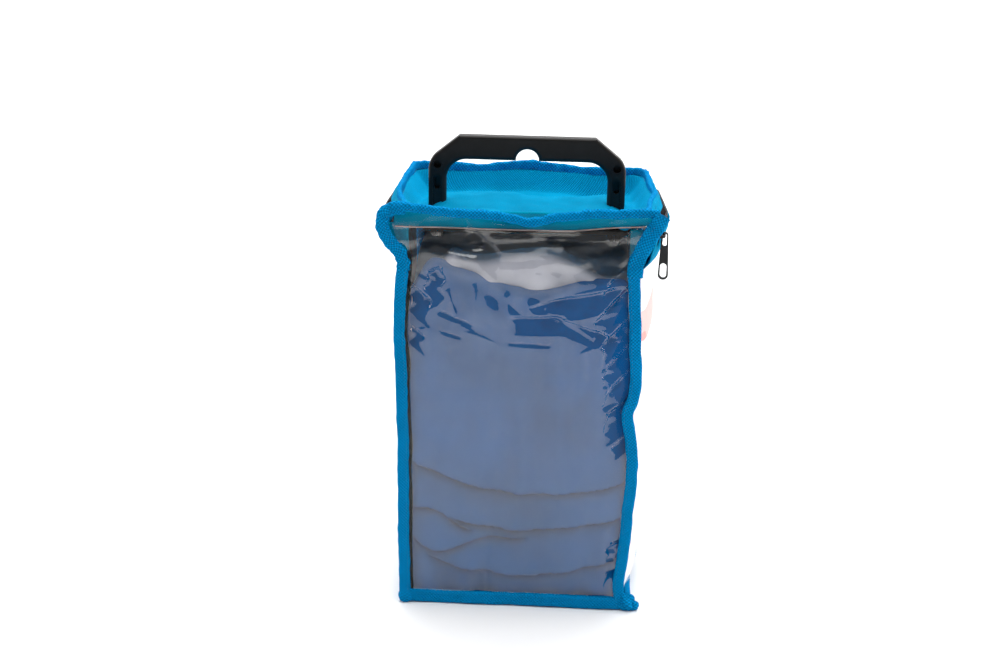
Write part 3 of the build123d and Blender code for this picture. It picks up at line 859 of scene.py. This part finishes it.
def flare_piece(name, points, wide, thick, seed, y_shift, node=()):
    """One stretch of the tape that frames the top of the front."""
    path = smooth_path([(x, front_y + y_shift, seam_z + z) for x, z in points], FLARE_STEP)
    steps = np.arange(len(path)) * FLARE_STEP
    path[:, 1] += 0.5 * waves(steps, 0, 22, seed)
    path[:, 2] += 0.35 * waves(steps, 0, 16, seed + 1)
    out = path - np.array([0.0, front_y, seam_z - 60])
    out[:, 1] = 0.0
    out /= np.linalg.norm(out, axis=1, keepdims=True)
    section = rounded_section(wide, thick, thick * 0.42)
    piece = tube(name, path, out, section, tape_blue, pucker(seed + 2, 0.10, 9.0, FLARE_STEP))
    place(piece, "bag", "blue_binding", *node)
    return sewn_row(name, path - out * (wide * 0.3) + np.array([0, -thick * 0.49, 0]), (0.0, -1.0, 0.0), 0.0)


def front_frame():
    """The rolled top edge with its dip in the middle, and the two side tapes that flare out to its ends."""
    flare_piece("front_roll", ROLL, 6.6, 5.2, 101, roll_y - front_y, ("front_top_roll",))
    flare_piece("front_left_flare", LEFT_FLARE, 9.8, 4.8, 104, -0.8)
    flare_piece("front_right_flare", RIGHT_FLARE, 11.5, 4.8, 107, -2.0)


def smooth_path(points, step):
    """Catmull-Rom curve through the points, evenly stepped."""
    points = np.asarray(points, float)
    ends = [2 * points[0] - points[1]], [2 * points[-1] - points[-2]]
    knots = np.concatenate([ends[0], points, ends[1]])
    samples = []
    for i in range(1, len(knots) - 2):
        p0, p1, p2, p3 = knots[i - 1 : i + 3]
        square, cube = 2 * p0 - 5 * p1 + 4 * p2 - p3, 3 * p1 - p0 - 3 * p2 + p3
        for t in np.linspace(0, 1, 24, endpoint=False):
            samples.append(0.5 * (2 * p1 + (p2 - p0) * t + square * t**2 + cube * t**3))
    samples = np.array([*samples, points[-1]])
    lengths = path_lengths(samples)
    even = np.linspace(0, lengths[-1], int(lengths[-1] / step))
    return at_length(even, lengths, samples)


def hem_line(x):
    """Height of the hem's lower edge, a little higher towards the right."""
    return HEM_LOW + 5.5 * smooth(x, 20, 95)


def front_hem():
    """The turned fabric hem behind the film below the front roll, and the film's folded lip, coloured pale
    as a painted highlight.
    """
    x, share = np.meshgrid(np.linspace(-97, 96, 150), np.linspace(0, 1, 12))
    low = hem_line(x)
    z = low + (seam_z + 5.5 + 1.5 * smooth(np.abs(x), 20, 50) - low) * share
    y = front_y + 2.6 + 4.6 * share + 0.5 * waves(x, z, 40, 111)
    place(sheet_piece("front_hem", grid(x, y, z), hem_blue, 0.6), "bag", "blue_nonwoven")
    xs = np.linspace(-95, 94, 150)
    height = hem_line(xs) - 0.2 + 0.25 * waves(xs, 0, 50, 112)
    path = np.stack([xs, np.full_like(xs, front_y + 0.6), height], axis=1)
    lip = tube("film_lip", path, (0.0, 0.0, 1.0), rounded_section(0.9, 0.8, 0.3), lip_highlight)
    return place(lip, "bag", "clear_vinyl")


def gap_shade_strip():
    """A dark strip behind the film beside the left binding: painted shade standing for the dark gap between
    the stack and the side wall.
    """
    share, z = np.meshgrid(np.linspace(0, 1, 6), np.linspace(hem_tall, 296, 180))
    left = front_span(z)[0] + 3.0
    x = left + (3.0 + 0.5 * waves(z, 0 * z, 40, 137)) * share
    y = film_depth(x, z) + 0.25
    piece = sheet_piece("gap_shade_strip", grid(x, y, z), gap_shade_cloth, 0.2)
    return place(piece, "bag", "zip_tape")


def corner_knots():
    """Folded tape ends at the front bottom corners: gathered at the right, plain and round at the left."""
    for name, x, size, crumple, seed in (
        ("corner_knot_right", 90.5, (6.2, 4.6, 8.2), 1.0, 121),
        ("corner_tab_right", 96.0, (4.6, 3.0, 4.6), 0.9, 125),
        ("corner_knot_left", -88.0, (5.8, 3.9, 6.4), 0.3, 131),
    ):
        around = np.linspace(0, 2 * math.pi, 72, endpoint=False)
        turns, levels = np.meshgrid(around, np.linspace(0, math.pi, 40))
        belt = np.sin(levels)
        swell = 1 + crumple * 0.11 * np.sin(3 * turns + 3.0 * levels + seed) * belt
        swell += crumple * 0.09 * waves(turns * 9 * belt, levels * 12, 14, seed) * belt
        px = x + size[0] * swell * belt * np.cos(turns)
        py = front_y - 0.3 + size[1] * swell * belt * np.sin(turns)
        pz = size[2] * 0.88 - size[2] * swell * np.cos(levels)
        points = grid(px, py, np.maximum(pz, 0.2 + 0.1 * pz))
        piece = sheet_piece(name, points, tape_blue, ring=True)
        place(piece, "bag", "blue_binding")


# ---- ears where the lid, the band and the front meet
def ears():
    """Soft gussets that close the corners between the front's flared tapes and the zip."""
    left_front = [(283, 90), (291, 91), (300, 96), (309, 102.5), (317, 105.5), (326, 104)]
    right_front = [(283, 86.5), (291, 87), (302, 91), (313, 97), (322, 102), (328, 104)]
    for name, sign, node, front_line, seed in (
        ("ear_left", -1, "left_zip_end_tab", left_front, 141),
        ("ear_right", 1, "right_zip_end_tab", right_front, 151),
    ):
        ys = np.linspace(front_y + 0.5, zip_front + 8, 18)
        y, share = np.meshgrid(ys, np.linspace(0, 1, 30))
        depth = (y - ys[0]) / (ys[-1] - ys[0])
        z = window_top - 4 + (seam_z + 4 - window_top + 4) * share
        wall = side_x + sign * edge_shift(sign * binding_x, y, window_top) + wall_bulge(sign, y, window_top)
        behind = wall + (zip_line(y) + 1.0 - wall) * smooth(share, 0, 0.5) - 5.0 * smooth(share, 0.6, 1.0)
        x = through(z, front_line) * (1 - depth) + behind * depth
        x = x + 0.8 * waves(y * 1.5, z, 14, seed) * np.sin(np.pi * depth)
        piece = sheet_piece(name, grid(sign * x, y, z, flip=sign < 0), fabric_blue, 0.8)
        place(piece, "bag", "blue_nonwoven", node)


def ear_linings():
    """Fabric behind the film in the two upper corners, in front of the gussets."""
    for name, sign, front_line, seed in (
        ("ear_lining_left", -1, [(284, 90), (291, 91), (300, 97), (310, 103), (316, 105)], 143),
        ("ear_lining_right", 1, [(284, 86), (291, 87), (300, 90), (310, 95), (316, 98)], 153),
    ):
        share, z = np.meshgrid(np.linspace(0, 1, 16), np.linspace(284, 316, 26))
        inner = 86 if sign < 0 else 80
        x = inner + (through(z, front_line) - inner) * share
        y = front_y + 7.0 - 3.0 * share + 0.7 * waves(x, z, 13, seed)
        piece = sheet_piece(name, grid(sign * x, y, z, flip=sign < 0), hem_blue, 0.6)
        place(piece, "bag", "blue_nonwoven")


# ---- zip
def zip_ring(offset, front=zip_front):
    """The zip's route moved outwards by the given distance."""
    plan = ring(zip_line, zip_back, CORNER, front, 200, 30, 200)
    return plan + ring_normals(plan) * offset


def zip_tape(name, body, low, high, inward, node):
    """Woven tape beside the coil, leaning inwards away from it."""
    rows = []
    for share in np.linspace(0, 1, 5):
        rows.append(lifted(zip_ring(-0.2 - inward * share), zip_z + low + (high - low) * share))
    return place(sheet_piece(name, np.stack(rows), zip_tape_black, 0.5), body, "zip_tape", node)


COIL_PITCH = 1.5


def coil_teeth(name, body, height, node, front=zip_front):
    """One side of the coil: a close row of rounded nylon loops."""
    plan = zip_ring(0.0, front)
    lengths = path_lengths(plan)
    normals = ring_normals(plan)
    vertices, faces, uvs = [], [], []
    loop = rounded_section(3.0, 2.4, 1.0, 3)
    for s in np.arange(0.5, lengths[-1] - 0.5, COIL_PITCH):
        centre, out = (at_length(s, lengths, values) for values in (plan, normals))
        along = np.array([-out[1], out[0]])
        faces += rod_faces(len(vertices), 4, len(loop))
        for offset, size in ((-0.62, 0.7), (-0.3, 1.0), (0.3, 1.0), (0.62, 0.7)):
            for a, b in loop:
                flat = centre + along * offset + out * (b * size)
                vertices.append((flat[0], flat[1], zip_z + height + a * size))
                uvs.append((a, b))
    piece = mesh_object(name, vertices, faces, coil_black, uvs)
    return place(piece, body, "zip_coil", node)


def zip_flap():
    """Fabric edges sewn along the zip: the lower one stands outside it, the upper one leans in."""
    for name, body, near, far, front in (
        ("zip_edge_low", "bag", (2.6, -1.4), (1.6, -8.0), zip_front),
        ("zip_edge_high", "lid", (-3.4, 6.4), (-5.2, 10.5), zip_front + 1),
    ):
        rows = []
        for share in np.linspace(0, 1, 6):
            offset = near[0] + (far[0] - near[0]) * share
            height = near[1] + (far[1] - near[1]) * share
            rows.append(lifted(zip_ring(offset, front), zip_z + height))
        piece = sheet_piece(name, np.stack(rows), fabric_blue, 0.9)
        place(piece, body, "blue_nonwoven")


# ---- lid
RIM_INSET = 10.0  # how far the lid's ridge stands inwards of the zip


def lid_band():
    """Fabric between the zip and the lid's ridge, leaning inwards."""
    foot = ring(lambda y: zip_line(y) - 4.4, zip_back - 4.4, CORNER - 4.4, zip_front + 1)
    head = ring(lambda y: zip_line(y) - RIM_INSET + 1.5, zip_back - 5.0, 11.0, zip_front - 5)
    rows = []
    length = np.arange(len(foot)) * RING_STEP
    for share in np.linspace(0, 1, 14):
        belly = math.sin(math.pi * share) * (0.4 + 0.5 * waves(length, share * 20, 18, 161))
        plan = foot * (1 - share) + head * share
        plan = plan + ring_normals(plan) * belly[:, None]
        rows.append(lifted(plan, zip_z + 8 + share * (rim_z + 7.0 - zip_z - 8)))
    piece = sheet_piece("lid_band", np.stack(rows), fabric_blue, 0.7)
    return place(piece, "lid hinge", "blue_nonwoven", "lid_left_binding", "lid_right_binding")


def lid_ridge():
    """The lid's sewn ridge round the left side, back and right side."""
    plan = ring(lambda y: zip_line(y) - RIM_INSET, zip_back - 5.0, 11.0, zip_front - 6, 120, 24, 160)
    normals = lifted(ring_normals(plan), 0.0)
    steps = np.arange(len(plan))
    height = rim_z + 4.8 + 0.9 * waves(steps, 0, 60, 171) + 0.4 * waves(steps, 0, 15, 172)
    height += 2.4 * hump(plan[:, 0], 0, 34) * smooth(plan[:, 1], 40, 80)
    path = lifted(plan, height) + normals * (0.7 * waves(steps, 0, 40, 173))[:, None]
    section = rounded_section(7.6, 4.0, 1.7)
    piece = tube("lid_ridge", path, (0.0, 0.0, 1.0), section, tape_blue, pucker(174, 0.08, 11.0))
    place(piece, "lid hinge", "blue_binding", "lid_back_binding")
    row = stitches("lid_ridge_stitches", path - normals * 2.3 - np.array([0, 0, 2.6]), -normals, 0.0)
    return place(row, "lid hinge", "blue_binding")


def lid_panel():
    """The lid's slack top: steep at the back and sides, a soft pillow in front."""
    u, v = np.meshgrid(np.linspace(-1, 1, 150), np.linspace(0, 1, 120))
    front, back = front_y + 5.5, zip_back - 5.5
    y = front + (back - front) * v
    half = zip_line(y) - RIM_INSET - 1.5
    round_off = 11.0 * smooth(y, back - 14, back) ** 2
    x = u * (half - round_off)
    to_side = half - round_off - np.abs(x)
    to_back = back - y
    to_front = y - front
    wall = np.maximum(1 - smooth(to_side, -1, 14), 1 - smooth(to_back, -1, 12))
    lip = 1 - smooth(to_front, 0, 20)
    pillow = (8.5 + 3.5 * hump(x, -30, 42) + 1.5 * hump(x, 62, 26)) * (1 - smooth(y, 24, 58))
    pillow = pillow * (1 - 0.7 * smooth(np.abs(x), 62, 92))
    floor = panel_low + 2.0 + pillow + 1.2 * waves(x, y, 55, 181)
    crown = rim_z + 3.0 + 2.4 * hump(x, 0, 34) * smooth(y, 40, 80)
    z = floor + (crown - floor) * wall
    z = z + (seam_z + 2.0 - z) * lip * (1 - 0.35 * hump(x, 6, 24))
    z = z + 0.35 * waves(x * 1.2, y, 18, 182) * (1 - wall)
    piece = sheet_piece("lid_panel", grid(x, y, z), fabric_blue, 0.7)
    return place(piece, "lid hinge", "blue_nonwoven", "top_panel")


def lid_patch():
    """Square reinforcement sewn over the ridge at the left front."""
    us = np.linspace(0, 1, 16)
    u, v = np.meshgrid(us, us)
    y = -52 + 13 * u
    reach = zip_line(y) - RIM_INSET
    x = -(reach + 1.0 - 13 * v)
    z = rim_z + 8.6 - 9.0 * v**1.4 + 0.3 * waves(x, y, 8, 191)
    piece = sheet_piece("lid_patch", grid(x, y, z), fabric_blue, 0.9)
    return place(piece, "lid hinge", "blue_nonwoven")


# ---- folded cloths
# each fold: its line as (x, height) points, and its depth
FOLDS = [
    ([(-92, 127), (-61, 113), (-29, 103), (3, 98), (34, 99.5), (65, 104), (92, 110)], 4.2),
    ([(-56, 76), (-21, 69), (11, 66), (47, 71), (92, 79)], 3.4),
    ([(-92, 66), (-78, 51), (-60, 45), (-32, 57), (14, 58)], 3.4),
    ([(-75, 43), (-52, 33), (-20, 28), (12, 26), (44, 30), (84, 42)], 3.4),
    ([(-92, 83), (-60, 78), (-48, 70), (-30, 64)], 2.6),
]
# height of the front lip of the stack, then of the white cloth, by x
BLUE_TOP = [
    (-92, 262), (-80, 270), (-73, 284), (-47, 281.5), (-39, 280), (-16, 271), (2, 267), (21, 266),
    (40, 271), (58, 275), (77, 277), (92, 277),
]
WHITE_TOP = [
    (-92, 262), (-66, 272), (-62, 281), (-54.5, 291), (-47, 287.5), (-32, 285.5), (-9, 290), (17, 293),
    (39, 284.5), (58, 274), (70, 268), (92, 264),
]


def fold_relief(x, z):
    """How far the stack's front stands in (positive) or out at its folds, and how much shade is painted
    there.
    """
    total, painted_fold_shade = 0.0, 0.0
    for line, depth in FOLDS:
        start, end = line[0][0], line[-1][0]
        ends = smooth(x, start, start + 14) * (1 - smooth(x, end - 14, end))
        ends = np.where((start < -85) & (x < 0), 1 - smooth(x, end - 14, end), ends)
        ends = np.where((end > 83) & (x > 0), smooth(x, start, start + 14), ends)
        below = through(x, line) - z
        over = np.exp(np.minimum(below, 0) / 13.0)
        under = np.exp(-np.maximum(below, 0) / 3.4)
        total = total + ends * depth * np.where(below <= 0, -over, 1.5 * under)
        # painted shade: a dark band along each fold line, stored as the cloth's mark
        painted_fold_shade = painted_fold_shade + ends * np.where(below <= 0, 0.5 * np.exp(np.minimum(below, 0) / 1.2), under)
    return total, np.clip(painted_fold_shade, 0, 0.92)


STACK_TOP, STACK_EDGE = 266.0, 7.0  # the stack's height and the rounding of its top edge
SQUARENESS = 0.09  # the shape of the stack's plan: 0 is a rectangle, 1 an ellipse


def stack_outline(half):
    """The stack's plan, a nearly rectangular loop of even steps."""
    angles = np.linspace(0, 2 * math.pi, 560, endpoint=False)
    turn = np.stack([np.cos(angles), np.sin(angles)], axis=1)
    plan = half * np.sign(turn) * np.abs(turn) ** SQUARENESS
    lengths = path_lengths(plan)
    return at_length(np.linspace(0, lengths[-1], 420), lengths, plan)


def stack_row(plan, half, middle_y, z):
    """One level of the stack's soft wall, and how much shade is painted in its folds there."""
    over = min(1.0, max(0.0, z - STACK_TOP + STACK_EDGE) / STACK_EDGE)
    inset = STACK_EDGE * (1 - math.sqrt(1 - over**2))
    x, y = (plan * (1 - inset / half)).T
    front = smooth(-y, half[1] - 26, half[1] - 4)
    rise = (through(x, BLUE_TOP) - STACK_TOP) * front + (258 - STACK_TOP) * (1 - front)
    height = z + rise * smooth(z, 190, STACK_TOP)
    relief, painted_fold_shade = fold_relief(x, height)
    relief = relief * front
    relief = relief - 1.9 * waves(x * 1.5, height * 0.3, 46, 202) - 0.5 * waves(x, height + y, 22, 203)
    inward = np.where(y < 0, 1.0, -1.0) * smooth(np.abs(y), half[1] - 14, half[1] - 6)
    y = y + relief * inward + middle_y
    x = x + edge_shift(x, y, height)
    y = np.where(y < 0, np.maximum(y, film_depth(x, height) + 0.5), y)
    return np.stack([x, y, height], axis=1), painted_fold_shade * front


def folded_cloth():
    """The folded stack: soft fold edges show low down through the window."""
    half = (cloth_high - cloth_low)[:2] / 2 - np.array([0.5, 0.0])
    middle_y = (cloth_high[1] + cloth_low[1]) / 2
    plan = stack_outline(half)
    shoulder = STACK_TOP - STACK_EDGE
    rounding = shoulder + STACK_EDGE * np.sin(np.linspace(0.06, math.pi / 2, 12))
    rows, marks = [], []
    for z in np.concatenate([np.linspace(3.0, shoulder, 240), rounding]):
        row, painted_fold_shade = stack_row(plan, half, middle_y, z)
        rows.append(row)
        marks.append(painted_fold_shade)
    last = rows[-1]
    centre = np.array([last[:, 0].mean(), last[:, 1].mean(), 256.0])
    for share in (0.75, 0.5, 0.25, 0.01):
        row = centre + (last - centre) * share
        row[:, 2] = 257 + (last[:, 2] - 257) * share**3
        rows.append(row)
        marks.append(0 * painted_fold_shade)
    piece = sheet_piece("folded_stack", np.stack(rows), cloth_blue, ring=True, mark=np.stack(marks))
    return place(piece, "bag", "blue_cloth", "folded_cloth")


def lining_cloth():
    """A white cloth laid over the stack, its wavy front edge turned down behind the stack's front lip."""
    x, s = np.meshgrid(np.linspace(-84, 82, 170), np.linspace(0, 1, 110))
    crest = through(x, WHITE_TOP)
    front, back = front_y + 11.0, lining_high[1] - 4
    drop = 1 - smooth(s, 0, 0.14)
    z = crest - 34 * drop**1.5 - (crest - lining_high[2]) * smooth(s, 0.2, 0.6)
    y = front + (back - front) * np.clip((s - 0.1) / 0.9, 0, 1)
    over = smooth(s, 0.12, 0.3)
    y = y + 1.6 * waves(x, z * 0.5, 38, 212) * (1 - over)
    z = z + 1.2 * over * waves(x, y, 38, 213)
    piece = sheet_piece("white_fold", grid(x, y, z), cloth_white, 1.4)
    return place(piece, "bag", "white_cloth", "lining_cloth")


# ---- stage
AZIMUTH, ELEVATION, TILT = math.radians(2.20), math.radians(19.49), math.radians(1.16)
AIM = (-18.64, 0.0, 206.0)  # the point that the camera looks at, in millimetres
DISTANCE = 1.2717  # from the camera to that point, in metres
LENS = 56.45  # focal length in millimetres


def camera():
    """The camera, placed where the front view was taken from: above, a little right, slightly rolled."""
    level = math.cos(ELEVATION)
    back = Vector((math.sin(AZIMUTH) * level, -math.cos(AZIMUTH) * level, math.sin(ELEVATION)))
    right = Vector((math.cos(AZIMUTH), math.sin(AZIMUTH), 0.0))
    up = back.cross(right)
    turned_right = right * math.cos(TILT) + up * math.sin(TILT)
    turned_up = up * math.cos(TILT) - right * math.sin(TILT)
    data = bpy.data.cameras.new("camera")
    data.lens = LENS
    data.sensor_width = 36.0
    data.clip_end = 50.0
    item = bpy.data.objects.new("camera", data)
    turn = Matrix((turned_right, turned_up, back)).transposed().to_4x4()
    item.matrix_world = Matrix.Translation(Vector(AIM) * MM + back * DISTANCE) @ turn
    bpy.context.scene.collection.objects.link(item)
    bpy.context.scene.camera = item


def area_light(name, place_at, aim, size, power):
    """A soft rectangular light aimed at a point."""
    data = bpy.data.lights.new(name, "AREA")
    data.shape = "RECTANGLE"
    data.size, data.size_y = size
    data.energy = power
    item = bpy.data.objects.new(name, data)
    item.location = place_at
    direction = Vector(aim) - Vector(place_at)
    item.rotation_euler = direction.to_track_quat("-Z", "Y").to_euler()
    bpy.context.scene.collection.objects.link(item)


AMBIENT = 0.26  # strength of the room's even light
WALL_RADIUS, WALL_LOW, WALL_HIGH, WALL_SIDES = 7000.0, -4000.0, 9000.0, 48  # the studio wall
FLOOR_FRONT, FLOOR_BACK, FLOOR_HALF = -2300.0, 2400.0, 2500.0  # the floor's ends and half its width
BEND, BEND_STEPS, BACKDROP_TOP = 1200.0, 12, 6000.0  # how the floor curves up behind
LIGHTS = [  # name, place, aim, size and power
    ("overhead", (0.1, 0.8, 2.7), (0, 0, 0.2), (3.4, 2.6), 84),
    ("front_floor", (0.0, -1.0, 3.2), (0, -0.8, 0.0), (3.0, 1.8), 50),
    ("right", (2.7, 0.2, 1.0), (0, 0, 0.2), (1.6, 1.6), 40),
    ("left", (-2.7, 0.5, 1.2), (0, 0, 0.2), (1.4, 1.4), 22),
    ("backdrop", (0.0, 1.4, 3.0), (0, 3.4, 0.8), (4.0, 1.0), 60),
]


def surround():
    """A white studio wall round the set, which only the camera sees."""
    turns = np.linspace(0, 2 * math.pi, WALL_SIDES, endpoint=False)
    circle = WALL_RADIUS * np.stack([np.cos(turns), np.sin(turns)], axis=1)
    material, _, shader, _ = new_material("studio_wall")
    set_inputs(shader, Base_Color=(0, 0, 0, 1), Emission_Color=(1, 1, 1, 1), Emission_Strength=1.0)
    material.cycles.emission_sampling = "NONE"
    points = np.stack([lifted(circle, WALL_LOW), lifted(circle, WALL_HIGH)])
    wall = sheet_piece("studio_wall", points, material, ring=True)
    wall.visible_diffuse = False
    wall.visible_glossy = False
    wall.visible_transmission = False
    wall.visible_shadow = False


def studio_floor():
    """Pale floor that curves up behind into a backdrop."""
    profile = [(FLOOR_FRONT, 0.0), (FLOOR_BACK, 0.0)]
    for angle in np.linspace(0, math.pi / 2, BEND_STEPS + 1)[1:]:
        profile.append((FLOOR_BACK + BEND * math.sin(angle), BEND * (1 - math.cos(angle))))
    profile.append((FLOOR_BACK + BEND, BACKDROP_TOP))
    x, row = np.meshgrid(np.linspace(-FLOOR_HALF, FLOOR_HALF, 8), np.arange(len(profile)))
    y, z = np.array(profile)[row].transpose(2, 0, 1)
    material, tree, shader, _ = new_material("pale_floor")
    tone = noise_node(tree, object_vector(tree), 1.5, 2.0)
    base = ramp(tree, tone, 0.2, 0.8, (0.86, 0.86, 0.86), (0.9, 0.9, 0.9))
    tree.links.new(base, shader.inputs["Base Color"])
    set_inputs(shader, Roughness=0.7, Specular_IOR_Level=0.2)
    floor = sheet_piece("floor", grid(x, y, z - 0.05), material)


def stage():
    """Floor, studio wall, even light and lamps."""
    studio_floor()
    world = bpy.data.worlds.new("studio")
    world.use_nodes = True
    set_inputs(world.node_tree.nodes["Background"], Color=(1, 1, 1, 1), Strength=AMBIENT)
    bpy.context.scene.world = world
    surround()
    for light in LIGHTS:
        area_light(*light)
    bpy.context.scene.view_settings.view_transform = "Standard"


def repaint(node, material):
    """Gives a carried-over CAD node its own finish."""
    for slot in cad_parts[node].material_slots:
        slot.material = material


FINISHES = [
    ("handle", handle_black),
    ("handle_base_plate", handle_black),
    ("slider_body", enamel_black),
    ("slider_bail", enamel_black),
    ("pull_tab", enamel_black),
    ("bottom_board", board_brown),
]


def build():
    """Makes the whole model."""
    camera()
    stage()
    for node, material in FINISHES:
        repaint(node, material)
    front_film()
    for make, piece, node in ((side_film, "film", "window"), (insert_card, "card", "insert_card")):
        make("left_" + piece, -1, "left_" + node)
        make("right_" + piece, 1, "right_" + node)
    back_wall()
    floor_wall()
    upper_band()
    bindings()
    front_frame()
    front_hem()
    gap_shade_strip()
    corner_knots()
    ears()
    ear_linings()
    zip_tape("zip_tape_low", "bag", -2.2, -8.4, 1.0, "lower_zip_tape")
    zip_tape("zip_tape_high", "lid", 2.2, 9.0, 4.6, "upper_zip_tape")
    coil_teeth("coil_low", "bag", -1.6, "lower_zip_coil")
    coil_teeth("coil_high", "lid", 1.6, "upper_zip_coil", slider_y + 7.5)
    zip_flap()
    lid_band()
    lid_ridge()
    lid_panel()
    lid_patch()
    folded_cloth()
    lining_cloth()


build()
